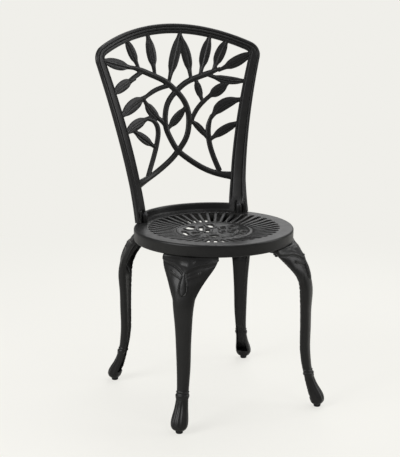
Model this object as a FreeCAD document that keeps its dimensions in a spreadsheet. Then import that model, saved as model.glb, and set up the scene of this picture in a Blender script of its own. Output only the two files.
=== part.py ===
"""Round garden chair in cast metal: a slotted seat on four cabriole legs, with a vine back.

Millimetres, +Z up. The sitter faces -Y, the floor is Z = 0, and the origin is on the floor
under the middle of the seat. Every casting is bolted to the seat, and nothing moves.
"""
import FreeCAD, Part
import Sketcher
import math
import os

Vector = FreeCAD.Vector
UP = Vector(0, 0, 1)

SIZES = (
    ("seat_radius", 200, "outer radius of the seat rim"),
    ("seat_height", 441, "floor to the flat top of the rim"),
    ("skirt_depth", 30, "height of the rim's outer skirt"),
    ("skirt_wall", 5, "thickness of the skirt"),
    ("edge_round", 4, "rounding of the rim's outer top edge"),
    ("rim_inner_radius", 168, "where the flat rim gives way to the dished pan"),
    ("rim_thickness", 7, "thickness of the flat rim"),
    ("pan_depth", 16, "how far the middle of the pan lies under the rim"),
    ("pan_thickness", 4, "thickness of the dished pan"),
    ("slot_count", 44, "radial slots round the pan"),
    ("slot_inner_radius", 97, "inner end of a slot"),
    ("slot_outer_radius", 166, "outer end of a slot"),
    ("slot_inner_width", 5, "width of a slot at its inner end"),
    ("slot_outer_width", 12, "width of a slot at its outer end"),
    ("bead_radius", 91.5, "middle of the raised ring round the medallion"),
    ("bead_width", 8, "width of the raised ring"),
    ("bead_rise", 2.5, "height of the raised ring above the pan"),
    ("medallion_radius", 86, "radius of the pierced medallion in the middle"),
    ("hub_radius", 9, "radius of the raised button in the middle"),
    ("hub_rise", 2, "height of the button above the pan"),
    ("boss_radius", 181, "distance of the leg bosses from the middle of the seat"),
    ("boss_spread", 13, "degrees from a leg's middle to each of its bosses"),
    ("boss_diameter", 22, "diameter of a leg boss"),
    ("stud_depth", 16, "how deep a stud is screwed into its boss"),
    ("thread_diameter", 8, "diameter of the studs and bolts"),
    ("bolt_clearance", 0.5, "room round a bolt in a plain hole, on the radius"),
    ("washer_diameter", 16, "diameter of a flat washer"),
    ("washer_thickness", 1.6, "thickness of a flat washer"),
    ("spring_diameter", 14, "diameter of a spring washer"),
    ("spring_thickness", 2, "thickness of a spring washer"),
    ("nut_across", 13, "width of a nut across its flats"),
    ("nut_height", 6.5, "height of a nut"),
    ("stud_overhang", 4, "length of stud that shows under its nut"),
    ("front_leg_angle", 46.4, "degrees between a front leg and the side of the chair"),
    ("rear_leg_angle", 45.3, "degrees between a rear leg and the side of the chair"),
    ("flange_thickness", 9, "thickness of the leg's top flange"),
    ("flange_inner_radius", 169, "inner edge of the leg's top flange"),
    ("flange_spread", 20.5, "degrees from a leg's middle to its flange's end"),
    ("knee_height", 110, "height of the knee, from the seat down to the shaft"),
    ("wing_spread", 69, "half the width of the wings where they meet the rim"),
    ("wing_bulge", 50, "how far the wings stand out past the rim at the knee's lower end"),
    ("wing_thickness", 10, "thickness of the wings beside the knee"),
    ("leg_wall", 5, "wall of the legs, which are hollow and open towards the middle"),
    ("ankle_height", 146, "height of the bend where the shaft kicks out to the foot"),
    ("shaft_radius", 243.2, "distance of the leg's shaft from the middle of the seat"),
    ("foot_radius", 277, "distance of a foot from the middle of the seat"),
    ("shaft_width", 37.1, "width of the shaft at mid height"),
    ("shaft_depth", 24.6, "depth of the shaft at mid height"),
    ("collar_height", 85, "height of the ring above the foot"),
    ("collar_rise", 1.6, "how far the ring stands out of the ankle"),
    ("collar_thickness", 6, "height of the ring"),
    ("foot_width", 41.5, "width of the bell foot"),
    ("foot_depth", 35.5, "depth of the bell foot"),
    ("glide_diameter", 19, "diameter of the plastic glide"),
    ("glide_height", 8, "how far the glide holds the foot off the floor"),
    ("peg_diameter", 6, "diameter of the glide's peg"),
    ("peg_length", 12, "length of the glide's peg"),
    ("peg_clearance", 0.2, "room round and above the peg"),
    ("back_height", 489, "rim to the top of the arch"),
    ("back_setback", 6, "from the rim's edge to the middle of the back's thickness"),
    ("stile_angle", 46.8, "degrees from the rear to each stile's foot"),
    ("back_top_half", 224, "half the distance between the stiles at the top"),
    ("back_top_bow", 54, "how far the middle of the back lies behind its top corners"),
    ("back_flatten", 9.5, "how much less than that the back is bowed half way up"),
    ("stile_curve", 1.57, "how late the stiles spread apart: 1 is straight"),
    ("back_lean", 45, "backward lean over the height of the back"),
    ("back_sweep", 25, "further backward curve over the height of the back"),
    ("stile_foot_width", 51, "width of a stile at its foot"),
    ("stile_waist_width", 40, "width of a stile where the vine starts"),
    ("stile_top_width", 29.5, "width of a stile at the top"),
    ("back_foot_thickness", 15, "thickness of the stiles at their feet"),
    ("back_thickness", 10.5, "thickness of the stiles' tops and the top rail"),
    ("back_front_bevel", 2.5, "softening of the front edges of the stiles and the rail"),
    ("back_rear_bevel", 3.5, "bevel along the rear edges of the stiles and the rail"),
    ("groove_depth", 2, "depth of the groove along the stiles and the rail"),
    ("arch_radius", 474, "radius of the arched rail's middle line"),
    ("rail_width", 25.5, "width of the arched rail"),
    ("corner_radius", 22, "radius of the middle line at the top corners"),
    ("apron_height", 21, "height of the low wall between the stiles"),
    ("apron_thickness", 9, "thickness of the low wall"),
    ("stem_width", 15.2, "width of the vine's stems"),
    ("stem_thickness", 11, "thickness of the vine's stems"),
    ("root_width", 27, "height of a main stem where it leaves its stile"),
    ("bough_width", 14.2, "width of the two side branches"),
    ("bough_thickness", 9.6, "thickness of the two side branches"),
    ("twig_width", 12.4, "width of the smaller stalks"),
    ("twig_thickness", 9, "thickness of the smaller stalks"),
    ("leaf_thickness", 9, "thickness of a leaf at its middle rib"),
    ("leaf_neck", 9, "width of a leaf at its two ends"),
    ("back_bolt_angle", 48.5, "degrees from the rear to each back bolt"),
    ("back_bolt_radius", 181, "distance of the back bolts from the middle of the seat"),
    ("back_boss_diameter", 18, "diameter of the boss beside a stile's foot"),
    ("back_boss_height", 19, "height of the boss beside a stile's foot"),
    ("cap_diameter", 14, "diameter of a back bolt's domed head"),
    ("cap_height", 5.5, "height of a back bolt's domed head"),
    ("bolt_overhang", 4, "length of back bolt that shows under its nut"),
)

# The vine is drawn on the back as pairs: across from -1 at the left stile's middle line to 1 at the
# right one's, and up from 0 at the rim to 1 at the top of the arch.
MAIN_STEMS = (
    ((-1, 0.176), (-0.582, 0.21), (-0.288, 0.253), (-0.082, 0.299), (0.03, 0.336), (0.16, 0.396),
     (0.21, 0.471), (0.2, 0.537), (0.12, 0.606), (0.012, 0.654), (-0.1, 0.694), (-0.298, 0.736),
     (-0.488, 0.771), (-0.6, 0.786)),
    ((1, 0.185), (0.658, 0.2), (0.332, 0.249), (0.14, 0.292), (-0.01, 0.336), (-0.11, 0.394),
     (-0.172, 0.451), (-0.16, 0.533), (-0.12, 0.576), (-0.022, 0.625), (0.032, 0.644), (0.186, 0.689),
     (0.318, 0.711), (0.452, 0.729), (0.63, 0.758)),
)
BRANCHES = (
    ("bough", ((-0.648, 0.212), (-0.43, 0.334), (-0.35, 0.398), (-0.33, 0.471), (-0.39, 0.499),
               (-0.47, 0.508))),
    ("twig", ((-0.072, 0.676), (-0.278, 0.656), (-0.5, 0.612))),
    ("twig", ((0.23, 0.47), (0.32, 0.535), (0.436, 0.586), (0.546, 0.618))),
    ("bough", ((0.718, 0.211), (0.608, 0.292), (0.538, 0.366), (0.518, 0.411), (0.518, 0.457),
               (0.56, 0.512))),
    ("twig", ((-0.428, 0.758), (-0.53, 0.737), (-0.658, 0.715))),
    ("twig", ((-0.38, 0.52), (-0.26, 0.5), (-0.172, 0.455))),
)
# Each leaf: its root, its tip, its width in millimetres and how much its middle line bends.
LEAVES = (
    ((-0.533, 0.776), (-1, 0.836), 28, 0.01),
    ((0.602, 0.746), (1, 0.853), 28, -0.02),
    ((-0.473, 0.777), (-0.568, 0.94), 25, -0.01),
    ((-0.253, 0.742), (-0.273, 0.96), 28, -0.01),
    ((-0.07, 0.688), (0.14, 0.972), 28, 0),
    ((0.25, 0.706), (0.115, 0.955), 26, -0.03),
    ((0.374, 0.724), (0.481, 0.948), 27, 0.01),
    ((0.539, 0.743), (0.683, 0.925), 27, 0.02),
    ((-0.548, 0.724), (-1, 0.649), 27, -0.03),
    ((-0.404, 0.633), (-0.985, 0.53), 32, -0.02),
    ((-0.487, 0.614), (-0.242, 0.491), 26, -0.05),
    ((-0.416, 0.518), (-0.99, 0.443), 27, -0.03),
    ((-0.402, 0.355), (-0.79, 0.463), 23, 0),
    ((0.47, 0.725), (1, 0.691), 21, -0.06),
    ((0.313, 0.712), (0.41, 0.59), 19, -0.02),
    ((0.464, 0.6), (0.762, 0.689), 28, -0.02),
    ((0.529, 0.481), (0.985, 0.595), 30, 0.14),
    ((0.525, 0.373), (0.99, 0.479), 23, 0.03),
    ((0.221, 0.493), (0.517, 0.384), 17, 0.05),
    ((-0.171, 0.441), (0.183, 0.564), 23, -0.01),
)
LEAF_STATIONS = ((0, 0), (0.14, 0.12), (0.32, 0.78), (0.5, 1), (0.68, 0.8), (0.88, 0.15), (1, 0))

# The medallion's openings: middle across and back, length, width, and the direction of the length
# in degrees from +X. All but the direction are in hundredths of the medallion's radius.
MEDALLION = (
    (-86, 10.5, 56, 17, 83), (-44, 67, 42, 29, 60), (-17, 49, 48, 14, 66), (23, 67, 41, 20, 80),
    (-57, 7, 33, 26, 40), (-9, 22, 34, 15, 65), (45, 27, 32, 16, 70), (76, 30, 30, 21, 20),
    (28, -7, 23, 11, 70), (55, -17, 26, 16, 60), (-23, -49, 44, 29, 75), (74, -48, 33, 16, 57),
    (34, -69, 26, 14, 30), (-62, -66, 26, 14, -42), (-70, -32, 26, 14, -64), (6, -83, 30, 13, 4),
)

doc = FreeCAD.newDocument("GardenChair")
sheet = doc.addObject("Spreadsheet::Sheet", "Sizes")
for row, (alias, value, meaning) in enumerate(SIZES, 1):
    sheet.set("A%d" % row, alias)
    sheet.set("B%d" % row, str(value))
    sheet.set("C%d" % row, meaning)
    sheet.setAlias("B%d" % row, alias)
doc.recompute()


def size(alias):
    """One driving dimension from the sheet."""
    return float(sheet.get(alias))


def turned(shape, degrees):
    """A copy of a shape turned about the chair's upright middle line."""
    copy = shape.copy()
    copy.rotate(Vector(0, 0, 0), UP, degrees)
    return copy


# Sketches and bodies


def bind(thing, property_name, expression):
    thing.setExpression(property_name, expression)


def origin_plane(body, role):
    for feature in body.Origin.OriginFeatures:
        if feature.Role == role:
            return feature
    raise RuntimeError("no plane " + role)


def new_body(label):
    body = doc.addObject("PartDesign::Body", label)
    body.Label = label
    return body


def new_sketch(body, name, role, height="0"):
    """A sketch on one of the body's own planes, lifted by an expression."""
    sketch = body.newObject("Sketcher::SketchObject", name)
    sketch.AttachmentSupport = (origin_plane(body, role), [""])
    sketch.MapMode = "FlatFace"
    bind(sketch, "AttachmentOffset.Base.z", height)
    return sketch


def value_of(sketch, expression):
    result = sketch.evalExpression(expression)
    return float(getattr(result, "Value", result))


def hold_point(sketch, geometry, vertex, across, up):
    """Ties one point of a sketch to two expressions, measured from the sketch's origin."""
    for kind, expression in (("DistanceX", across), ("DistanceY", up)):
        distance = value_of(sketch, expression)
        index = sketch.addConstraint(Sketcher.Constraint(kind, -1, 1, geometry, vertex, distance))
        bind(sketch, "Constraints[%d]" % index, expression)


def outline(sketch, corners):
    """A closed outline of straight sides whose corners are pairs of expressions."""
    points = [Vector(value_of(sketch, a), value_of(sketch, b), 0) for a, b in corners]
    count = len(points)
    sides = [sketch.addGeometry(Part.LineSegment(points[i], points[(i + 1) % count]), False)
             for i in range(count)]
    for i in range(count):
        sketch.addConstraint(Sketcher.Constraint("Coincident", sides[i], 2, sides[(i + 1) % count], 1))
        hold_point(sketch, sides[i], 1, *corners[i])


def circle(sketch, across, up, radius):
    """A circle whose centre and radius are expressions."""
    centre = Vector(value_of(sketch, across), value_of(sketch, up), 0)
    ring = sketch.addGeometry(Part.Circle(centre, UP, value_of(sketch, radius)), False)
    index = sketch.addConstraint(Sketcher.Constraint("Radius", ring, value_of(sketch, radius)))
    bind(sketch, "Constraints[%d]" % index, radius)
    hold_point(sketch, ring, 3, across, up)


def slot_outline(sketch, near, far, near_half, far_half):
    """A slot with round ends. Its end centres are pairs of (expression, value), like its half widths."""
    run = Vector(far[0][1] - near[0][1], far[1][1] - near[1][1], 0).normalize()
    side = Vector(-run.y, run.x, 0)
    start, heading = Vector(near[0][1], near[1][1], 0), math.atan2(run.y, run.x)
    end = Vector(far[0][1], far[1][1], 0)
    quarter = math.pi / 2
    corners = [(start - side * near_half[1], near, near_half, -1), (end - side * far_half[1], far, far_half, -1),
               (end + side * far_half[1], far, far_half, 1), (start + side * near_half[1], near, near_half, 1)]
    lower = sketch.addGeometry(Part.LineSegment(corners[0][0], corners[1][0]))
    far_end = sketch.addGeometry(
        Part.ArcOfCircle(Part.Circle(end, UP, far_half[1]), heading - quarter, heading + quarter))
    upper = sketch.addGeometry(Part.LineSegment(corners[2][0], corners[3][0]))
    near_end = sketch.addGeometry(
        Part.ArcOfCircle(Part.Circle(start, UP, near_half[1]), heading + quarter, heading + 3 * quarter))
    for first, second in ((lower, far_end), (far_end, upper), (upper, near_end), (near_end, lower)):
        sketch.addConstraint(Sketcher.Constraint("Coincident", first, 2, second, 1))
    for (_, centre, half, sign), line, vertex in zip(corners, (lower, lower, upper, upper), (1, 2, 1, 2)):
        hold_point(sketch, line, vertex, "%s + (%s) * %.9f" % (centre[0][0], half[0], sign * side.x),
                   "%s + (%s) * %.9f" % (centre[1][0], half[0], sign * side.y))
    axis = 0 if abs(run.x) > abs(run.y) else 1
    for arc, centre in ((far_end, far), (near_end, near)):
        kind = ("DistanceX", "DistanceY")[axis]
        index = sketch.addConstraint(Sketcher.Constraint(kind, -1, 1, arc, 3, centre[axis][1]))
        bind(sketch, "Constraints[%d]" % index, centre[axis][0])


def with_value(sketch, expression):
    return expression, value_of(sketch, expression)


def radial_slot(sketch):
    """One slot of the pan, along X."""
    inner, outer = "Sizes.slot_inner_width / 2", "Sizes.slot_outer_width / 2"
    near = with_value(sketch, "Sizes.slot_inner_radius + " + inner)
    far = with_value(sketch, "Sizes.slot_outer_radius - " + outer)
    zero = ("0", 0)
    slot_outline(sketch, (near, zero), (far, zero), with_value(sketch, inner), with_value(sketch, outer))


def medallion_outlines(sketch):
    """The rounded openings of the medallion, each a little wider at one end."""
    for across, back, length, width, degrees in MEDALLION:
        heading = math.radians(degrees)
        reach = (length - width) / 2
        ends = [[with_value(sketch, "Sizes.medallion_radius * %.6f" % (part / 100))
                 for part in (across + sign * reach * math.cos(heading), back + sign * reach * math.sin(heading))]
                for sign in (-1, 1)]
        halves = [with_value(sketch, "Sizes.medallion_radius * %.6f" % (width * share / 200))
                  for share in (0.85, 1)]
        slot_outline(sketch, ends[0], ends[1], halves[0], halves[1])


def cut_up(body, name, sketch, length=None):
    """A pocket that starts at its sketch and cuts upwards, right through if no length is given."""
    before = body.Shape.Volume
    pocket = body.newObject("PartDesign::Pocket", name)
    pocket.Profile = sketch
    pocket.Reversed = True
    pocket.Type = "Length" if length else "ThroughAll"
    if length:
        bind(pocket, "Length", length)
    doc.recompute()
    if body.Shape.Volume >= before:
        raise RuntimeError(name + " cut nothing")
    return pocket


def round_pattern(body, name, feature, sketch, count):
    """Copies of a feature, evenly round the seat's middle line."""
    pattern = body.newObject("PartDesign::PolarPattern", name)
    pattern.Refine = False
    pattern.Originals = [feature]
    pattern.Axis = (sketch, ["N_Axis"])
    pattern.Angle = 360
    bind(pattern, "Occurrences", count)
    body.Tip = pattern
    doc.recompute()
    return pattern


# The seat


def pan_height(radius):
    """The expression for the top of the dished pan at a radius."""
    return "Sizes.seat_height - Sizes.pan_depth * (1 - (%s / Sizes.rim_inner_radius) ^ 2)" % radius


def seat_profile():
    """The seat's section, from the middle of its top round to the middle of its underside."""
    bead_in = "(Sizes.bead_radius - Sizes.bead_width / 2)"
    bead_out = "(Sizes.bead_radius + Sizes.bead_width / 2)"
    halfway = "((Sizes.bead_radius + Sizes.rim_inner_radius) / 2)"
    top = [("0", pan_height("0") + " + Sizes.hub_rise"),
           ("Sizes.hub_radius * 0.7", pan_height("0") + " + Sizes.hub_rise"),
           ("Sizes.hub_radius", pan_height("Sizes.hub_radius")),
           (bead_in, pan_height(bead_in)),
           ("Sizes.bead_radius", pan_height("Sizes.bead_radius") + " + Sizes.bead_rise"),
           (bead_out, pan_height(bead_out)),
           (halfway, pan_height(halfway)),
           ("Sizes.rim_inner_radius", "Sizes.seat_height"),
           ("Sizes.seat_radius", "Sizes.seat_height")]
    skirt_inside = "Sizes.seat_radius - Sizes.skirt_wall"
    skirt_foot = "Sizes.seat_height - Sizes.skirt_depth"
    rim_under = "Sizes.seat_height - Sizes.rim_thickness"
    under = [("Sizes.seat_radius", skirt_foot), (skirt_inside, skirt_foot), (skirt_inside, rim_under),
             ("Sizes.rim_inner_radius", rim_under),
             (halfway, pan_height(halfway) + " - Sizes.pan_thickness"),
             (bead_out, pan_height(bead_out) + " - Sizes.pan_thickness"),
             ("0", pan_height("0") + " - Sizes.pan_thickness")]
    return top + under


def rounded_rim(body, before):
    """Rounds the outer top edge of the rim."""
    radius, height = size("seat_radius"), size("seat_height")
    edges = ["Edge%d" % number for number, edge in enumerate(body.Shape.Edges, 1)
             if isinstance(edge.Curve, Part.Circle) and abs(edge.Curve.Radius - radius) < 1e-4
             and abs(edge.CenterOfMass.z - height) < 1e-4]
    fillet = body.newObject("PartDesign::Fillet", "rim_round")
    fillet.Base = (before, edges)
    bind(fillet, "Radius", "Sizes.edge_round")
    doc.recompute()


def seat():
    body = new_body("seat")
    profile = new_sketch(body, "seat_section", "XZ_Plane")
    outline(profile, seat_profile())
    revolved = body.newObject("PartDesign::Revolution", "seat_disc")
    revolved.Profile = profile
    revolved.ReferenceAxis = (profile, ["V_Axis"])
    revolved.Angle = 360
    doc.recompute()
    rounded_rim(body, revolved)

    boss_sketch = new_sketch(body, "boss_places", "XY_Plane", "Sizes.seat_height - Sizes.skirt_depth")
    hole_sketch = new_sketch(body, "stud_places", "XY_Plane", "Sizes.seat_height - Sizes.skirt_depth")
    for end, toward in (("front", "-"), ("rear", "")):
        for sign in ("-", "+"):
            angle = "(Sizes.%s_leg_angle %s Sizes.boss_spread)" % (end, sign)
            for side in ("-", ""):
                across = side + "Sizes.boss_radius * cos(%s)" % angle
                along = toward + "Sizes.boss_radius * sin(%s)" % angle
                circle(boss_sketch, across, along, "Sizes.boss_diameter / 2")
                circle(hole_sketch, across, along, "Sizes.thread_diameter / 2")
    bosses = body.newObject("PartDesign::Pad", "bosses")
    bosses.Profile = boss_sketch
    bind(bosses, "Length", "Sizes.skirt_depth - Sizes.rim_thickness / 2")
    doc.recompute()
    cut_up(body, "stud_holes", hole_sketch, "Sizes.stud_depth")

    bolt_sketch = new_sketch(body, "back_bolt_places", "XY_Plane")
    for sign in ("-", ""):
        circle(bolt_sketch, sign + "Sizes.back_bolt_radius * sin(Sizes.back_bolt_angle)",
               "Sizes.back_bolt_radius * cos(Sizes.back_bolt_angle)",
               "Sizes.thread_diameter / 2 + Sizes.bolt_clearance")
    cut_up(body, "back_bolt_holes", bolt_sketch)

    slots = new_sketch(body, "slot_outline", "XY_Plane")
    radial_slot(slots)
    round_pattern(body, "all_slots", cut_up(body, "one_slot", slots), slots, "Sizes.slot_count")
    medallion = new_sketch(body, "medallion_openings", "XY_Plane")
    medallion_outlines(medallion)
    cut_up(body, "medallion", medallion)
    return body


# Shapes that follow smooth sections


def closed_curve(points):
    curve = Part.BSplineCurve()
    curve.interpolate(points, PeriodicFlag=True)
    return Part.Wire([curve.toShape()])


def oval(middle, along, across, depth, width, boxiness=2.4):
    """A closed oval about a point, a little squarer than an ellipse."""
    points = []
    for step in range(12):
        angle = math.radians(30 * step)
        reach = [math.copysign(abs(part) ** (2 / boxiness), part)
                 for part in (math.cos(angle), math.sin(angle))]
        points.append(middle + along * (reach[0] * depth / 2) + across * (reach[1] * width / 2))
    return closed_curve(points)


def loft(wires):
    return Part.makeLoft(wires, True, False)


def merged(shapes, name):
    """Joins overlapping solids into one, and insists that it is one."""
    result = shapes[0].multiFuse(shapes[1:])
    if len(result.Solids) != 1 or not result.isValid():
        raise RuntimeError("%s is %d solids" % (name, len(result.Solids)))
    return result.Solids[0]


def sector(inner, outer, bottom, height, middle, spread):
    """Part of a ring about the seat's middle line, with angles from +X in degrees."""
    ring = [Part.makeCylinder(radius, height, Vector(0, 0, bottom), UP, 2 * spread)
            for radius in (outer, inner)]
    return turned(ring[0].cut(ring[1]), middle - spread)


# The legs. A leg is drawn standing out along +X and then turned to its corner.

# Share of the knee's height below the seat, share of the way out to the shaft, depth, width.
KNEE = ((0, 0, 38, 50), (0.17, 0.23, 47, 52), (0.36, 0.49, 43, 54), (0.54, 0.71, 37.5, 58),
        (0.73, 0.87, 31.5, 57), (1, 1, 27.5, 50.5))
# Share of the knee's height, share of the wings' spread, outer face and tips past the rim as shares
# of the wings' bulge.
WINGS = ((0, 1, 0, -0.2), (0.1, 0.985, 0.3, -0.14), (0.21, 0.92, 0.56, 0.03), (0.355, 0.785, 0.76, 0.28),
         (0.535, 0.62, 0.92, 0.56), (0.75, 0.46, 1, 0.8), (0.95, 0.35, 0.98, 0.84))
# Share of the ankle's height, share of the way out to the foot, shares of the foot's depth and width.
ANKLE = ((0.8, 0.09, 0.64, 0.73), (0.68, 0.17, 0.62, 0.7), (0.58, 0.27, 0.64, 0.7), (0.48, 0.4, 0.69, 0.74),
         (0.37, 0.58, 0.79, 0.82), (0.27, 0.79, 0.93, 0.94), (0.19, 0.93, 1, 1), (0.11, 1, 0.93, 0.93),
         (0.075, 1, 0.78, 0.78))
FOOT_SOLE = (0.58, 0.6)


def leg_top():
    return size("seat_height") - size("skirt_depth")


def leg_sections():
    """The leg's sections from the seat down: height, distance out, depth and width."""
    top, knee, ankle = leg_top(), size("knee_height"), size("ankle_height")
    start, shaft, foot = size("boss_radius") + 6, size("shaft_radius"), size("foot_radius")
    sections = [(top - drop * knee, start + out * (shaft - start), depth, width)
                for drop, out, depth, width in KNEE]
    shaft_depth, shaft_width = size("shaft_depth"), size("shaft_width")
    for share, wider in ((0.3, 5), (0.6, 0), (1, -4)):
        height = (top - knee) + share * (ankle - (top - knee))
        sections.append((height, shaft, shaft_depth - share, shaft_width + wider))
    for share, out, depth, width in ANKLE:
        sections.append((share * ankle, shaft + out * (foot - shaft),
                         depth * size("foot_depth"), width * size("foot_width")))
    sections.append((size("glide_height"), foot, FOOT_SOLE[0] * size("foot_depth"),
                     FOOT_SOLE[1] * size("foot_width")))
    return sections


def crescent(half_width, outer, tip, height, thickness):
    """A thin crescent section of the wings, bowed outwards."""
    def bow(setback, half):
        return Part.Arc(Vector(tip - setback, -half, height), Vector(outer - setback, 0, height),
                        Vector(tip - setback, half, height)).toShape()
    front, back = bow(0, half_width), bow(thickness, half_width - thickness / 4)
    sides = [Part.makeLine(front.Vertexes[i].Point, back.Vertexes[i].Point) for i in (0, 1)]
    return Part.Wire(Part.__sortEdges__([front, sides[1], back, sides[0]]))


def wings():
    rim, bulge, knee = size("seat_radius"), size("wing_bulge"), size("knee_height")
    wires = [crescent(share * size("wing_spread"), rim + out * bulge, rim + tip * bulge,
                      leg_top() - drop * knee, size("wing_thickness"))
             for drop, share, out, tip in WINGS]
    return loft(wires)


def boss_places():
    """The two bosses of a leg that stands along +X."""
    for side in (-1, 1):
        angle = math.radians(side * size("boss_spread"))
        yield Vector(size("boss_radius") * math.cos(angle), size("boss_radius") * math.sin(angle), 0)


def section_at(height):
    """The leg's section at a height between two of its sections."""
    sections = leg_sections()
    for upper, lower in zip(sections, sections[1:]):
        if lower[0] <= height <= upper[0]:
            share = (upper[0] - height) / (upper[0] - lower[0])
            return tuple(a + share * (b - a) for a, b in zip(upper, lower))
    raise RuntimeError("the leg has no section at %.1f" % height)


def hollow():
    """The space inside a leg, open towards the middle of the chair, from the foot to the flange."""
    wall = size("leg_wall")
    lowest = size("glide_height") + size("peg_length") + wall
    highest = leg_top() - size("flange_thickness") - wall / 2
    between = [section for section in leg_sections() if lowest + wall < section[0] < highest - wall]
    inside = []
    for height, radius, depth, width in [section_at(highest)] + between + [section_at(lowest)]:
        front = radius + depth / 2 - wall
        middle = Vector(front - (depth + wall) / 2, 0, height)
        inside.append(oval(middle, Vector(1, 0, 0), Vector(0, 1, 0), depth + wall, width - 2 * wall, 3.4))
    return loft(inside)


def leg_shape():
    out, across = Vector(1, 0, 0), Vector(0, 1, 0)
    sections = leg_sections()
    shaft = loft([oval(Vector(radius, 0, height), out, across, depth, width)
                  for height, radius, depth, width in sections])
    ankle = min(sections, key=lambda section: abs(section[0] - size("collar_height")))
    ring = [oval(Vector(ankle[1], 0, size("collar_height") + side * size("collar_thickness") / 2),
                 out, across, ankle[2] + 2 * size("collar_rise"), ankle[3] + 2 * size("collar_rise"))
            for side in (-1, 1)]
    flange = sector(size("flange_inner_radius"), size("seat_radius") - size("skirt_wall") / 2,
                    leg_top() - size("flange_thickness"), size("flange_thickness"),
                    0, size("flange_spread"))
    leg = merged([shaft, wings(), flange, loft(ring)], "leg")
    hole = size("thread_diameter") / 2 + size("bolt_clearance")
    drills = [Part.makeCylinder(hole, 3 * size("flange_thickness"),
                                place + UP * (leg_top() - 2.5 * size("flange_thickness")))
              for place in boss_places()]
    peg = Part.makeCylinder(size("peg_diameter") / 2 + size("peg_clearance"),
                            size("glide_height") + size("peg_length") + size("peg_clearance"),
                            Vector(size("foot_radius"), 0, 0))
    return leg.cut(Part.makeCompound(drills + [peg, hollow()]))


# The back. It is a thin sheet bowed about the sitter, leaning back and fanning out as it rises.


def rim_level():
    return size("seat_height")


def arch_centre():
    """Height of the centre of the arched rail's middle line."""
    return rim_level() + size("back_height") - size("rail_width") / 2 - size("arch_radius")


def arch_height(across):
    return arch_centre() + math.sqrt(size("arch_radius") ** 2 - across ** 2)


def foot_radius():
    return size("seat_radius") - size("back_setback")


def half_span(height):
    """Half the distance between the stiles' middle lines."""
    foot = foot_radius() * math.sin(math.radians(size("stile_angle")))
    rise = arch_height(size("back_top_half")) - rim_level()
    share = max(height - rim_level(), 0) / rise
    return foot + (size("back_top_half") - foot) * share ** size("stile_curve")


def on_back(across, height):
    """The point of the back's middle surface that shows at a place in the front view."""
    share = (height - rim_level()) / size("back_height")
    foot_bow = foot_radius() * (1 - math.cos(math.radians(size("stile_angle"))))
    climb = (height - rim_level()) / (arch_height(size("back_top_half")) - rim_level())
    bow = foot_bow + (size("back_top_bow") - foot_bow) * climb
    bow -= 4 * size("back_flatten") * climb * (1 - climb)
    radius = (half_span(height) ** 2 + bow ** 2) / (2 * bow)
    middle = foot_radius() + size("back_lean") * share + size("back_sweep") * share ** 2
    return Vector(across, middle - radius + math.sqrt(radius ** 2 - across ** 2), height)


def back_normal(across, height):
    """The direction square to the back, towards the sitter."""
    step = 0.5
    sideways = on_back(across + step, height) - on_back(across - step, height)
    upwards = on_back(across, height + step) - on_back(across, height - step)
    return sideways.cross(upwards).normalize()


def drawn(across_share, up_share):
    """A pair of the vine's drawing as a place in the front view, in millimetres."""
    height = rim_level() + up_share * size("back_height")
    return across_share * half_span(height), height


def lined_up(places):
    """For each place along a line on the back: point, direction along, across and outwards."""
    points = [on_back(*place) for place in places]
    frames = []
    for i, place in enumerate(places):
        along = (points[min(i + 1, len(points) - 1)] - points[max(i - 1, 0)]).normalize()
        normal = back_normal(*place)
        frames.append((points[i], along, along.cross(normal).normalize(), normal))
    return frames


def smooth_places(pairs, count):
    """Evenly spread places on a smooth curve through pairs of the vine's drawing."""
    curve = Part.BSplineCurve()
    curve.interpolate([Vector(*drawn(*pair), 0) for pair in pairs])
    first, last = curve.FirstParameter, curve.LastParameter
    points = [curve.value(first + (last - first) * i / (count - 1)) for i in range(count)]
    return [(point.x, point.y) for point in points]


def stem(pairs, width, thickness, root=None):
    """A round stem of the vine; a main stem spreads out at its root on the stile."""
    count = 2 * len(pairs) + 1
    wires = []
    for i, (point, _, across, normal) in enumerate(lined_up(smooth_places(pairs, count))):
        flare = max(0, 1 - i / 4) ** 2 if root else 0
        reach = width / 2 + flare * ((root or width) - width) / 2
        wires.append(oval(point, across, normal, 2 * reach, thickness, 2))
    return loft(wires)


def leaf(root, tip, width, bend):
    """A leaf with a ridge along its middle, thin at its edges and narrow at both ends."""
    start, end = drawn(*root), drawn(*tip)
    run = (end[0] - start[0], end[1] - start[1])
    places, widths = [], []
    for share, fullness in LEAF_STATIONS:
        swing = bend * math.sin(math.pi * share)
        places.append((start[0] + share * run[0] - swing * run[1],
                       start[1] + share * run[1] + swing * run[0]))
        widths.append(size("leaf_neck") + fullness * (width - size("leaf_neck")))
    ridge, edge = size("leaf_thickness") / 2, size("leaf_thickness") / 6
    corners = ((-0.5, -edge), (-0.5, edge), (0, ridge), (0.5, edge), (0.5, -edge), (0, -ridge))
    wires = []
    for (point, _, across, normal), wide in zip(lined_up(places), widths):
        ring = [point + across * (side * wide) + normal * deep for side, deep in corners]
        wires.append(Part.makePolygon(ring + ring[:1]))
    return loft(wires)


def corner_turn():
    """The rounded turn from the right stile into the arched rail, as places in the front view."""
    top = size("back_top_half")
    corner = Vector(top, arch_height(top), 0)
    lower = Vector(half_span(corner.y - 30), corner.y - 30, 0)
    inner = Vector(top - 30, arch_height(top - 30), 0)
    down, inward = (lower - corner).normalize(), (inner - corner).normalize()
    half_turn = down.getAngle(inward) / 2
    reach = size("corner_radius") / math.tan(half_turn)
    bisector = (down + inward).normalize()
    centre = corner + bisector * (size("corner_radius") / math.sin(half_turn))
    arc = Part.Arc(corner + down * reach, centre - bisector * size("corner_radius"), corner + inward * reach)
    curve = arc.toShape().Curve
    first, last = arc.FirstParameter, arc.LastParameter
    return [curve.value(first + (last - first) * i / 4) for i in range(5)]


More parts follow.
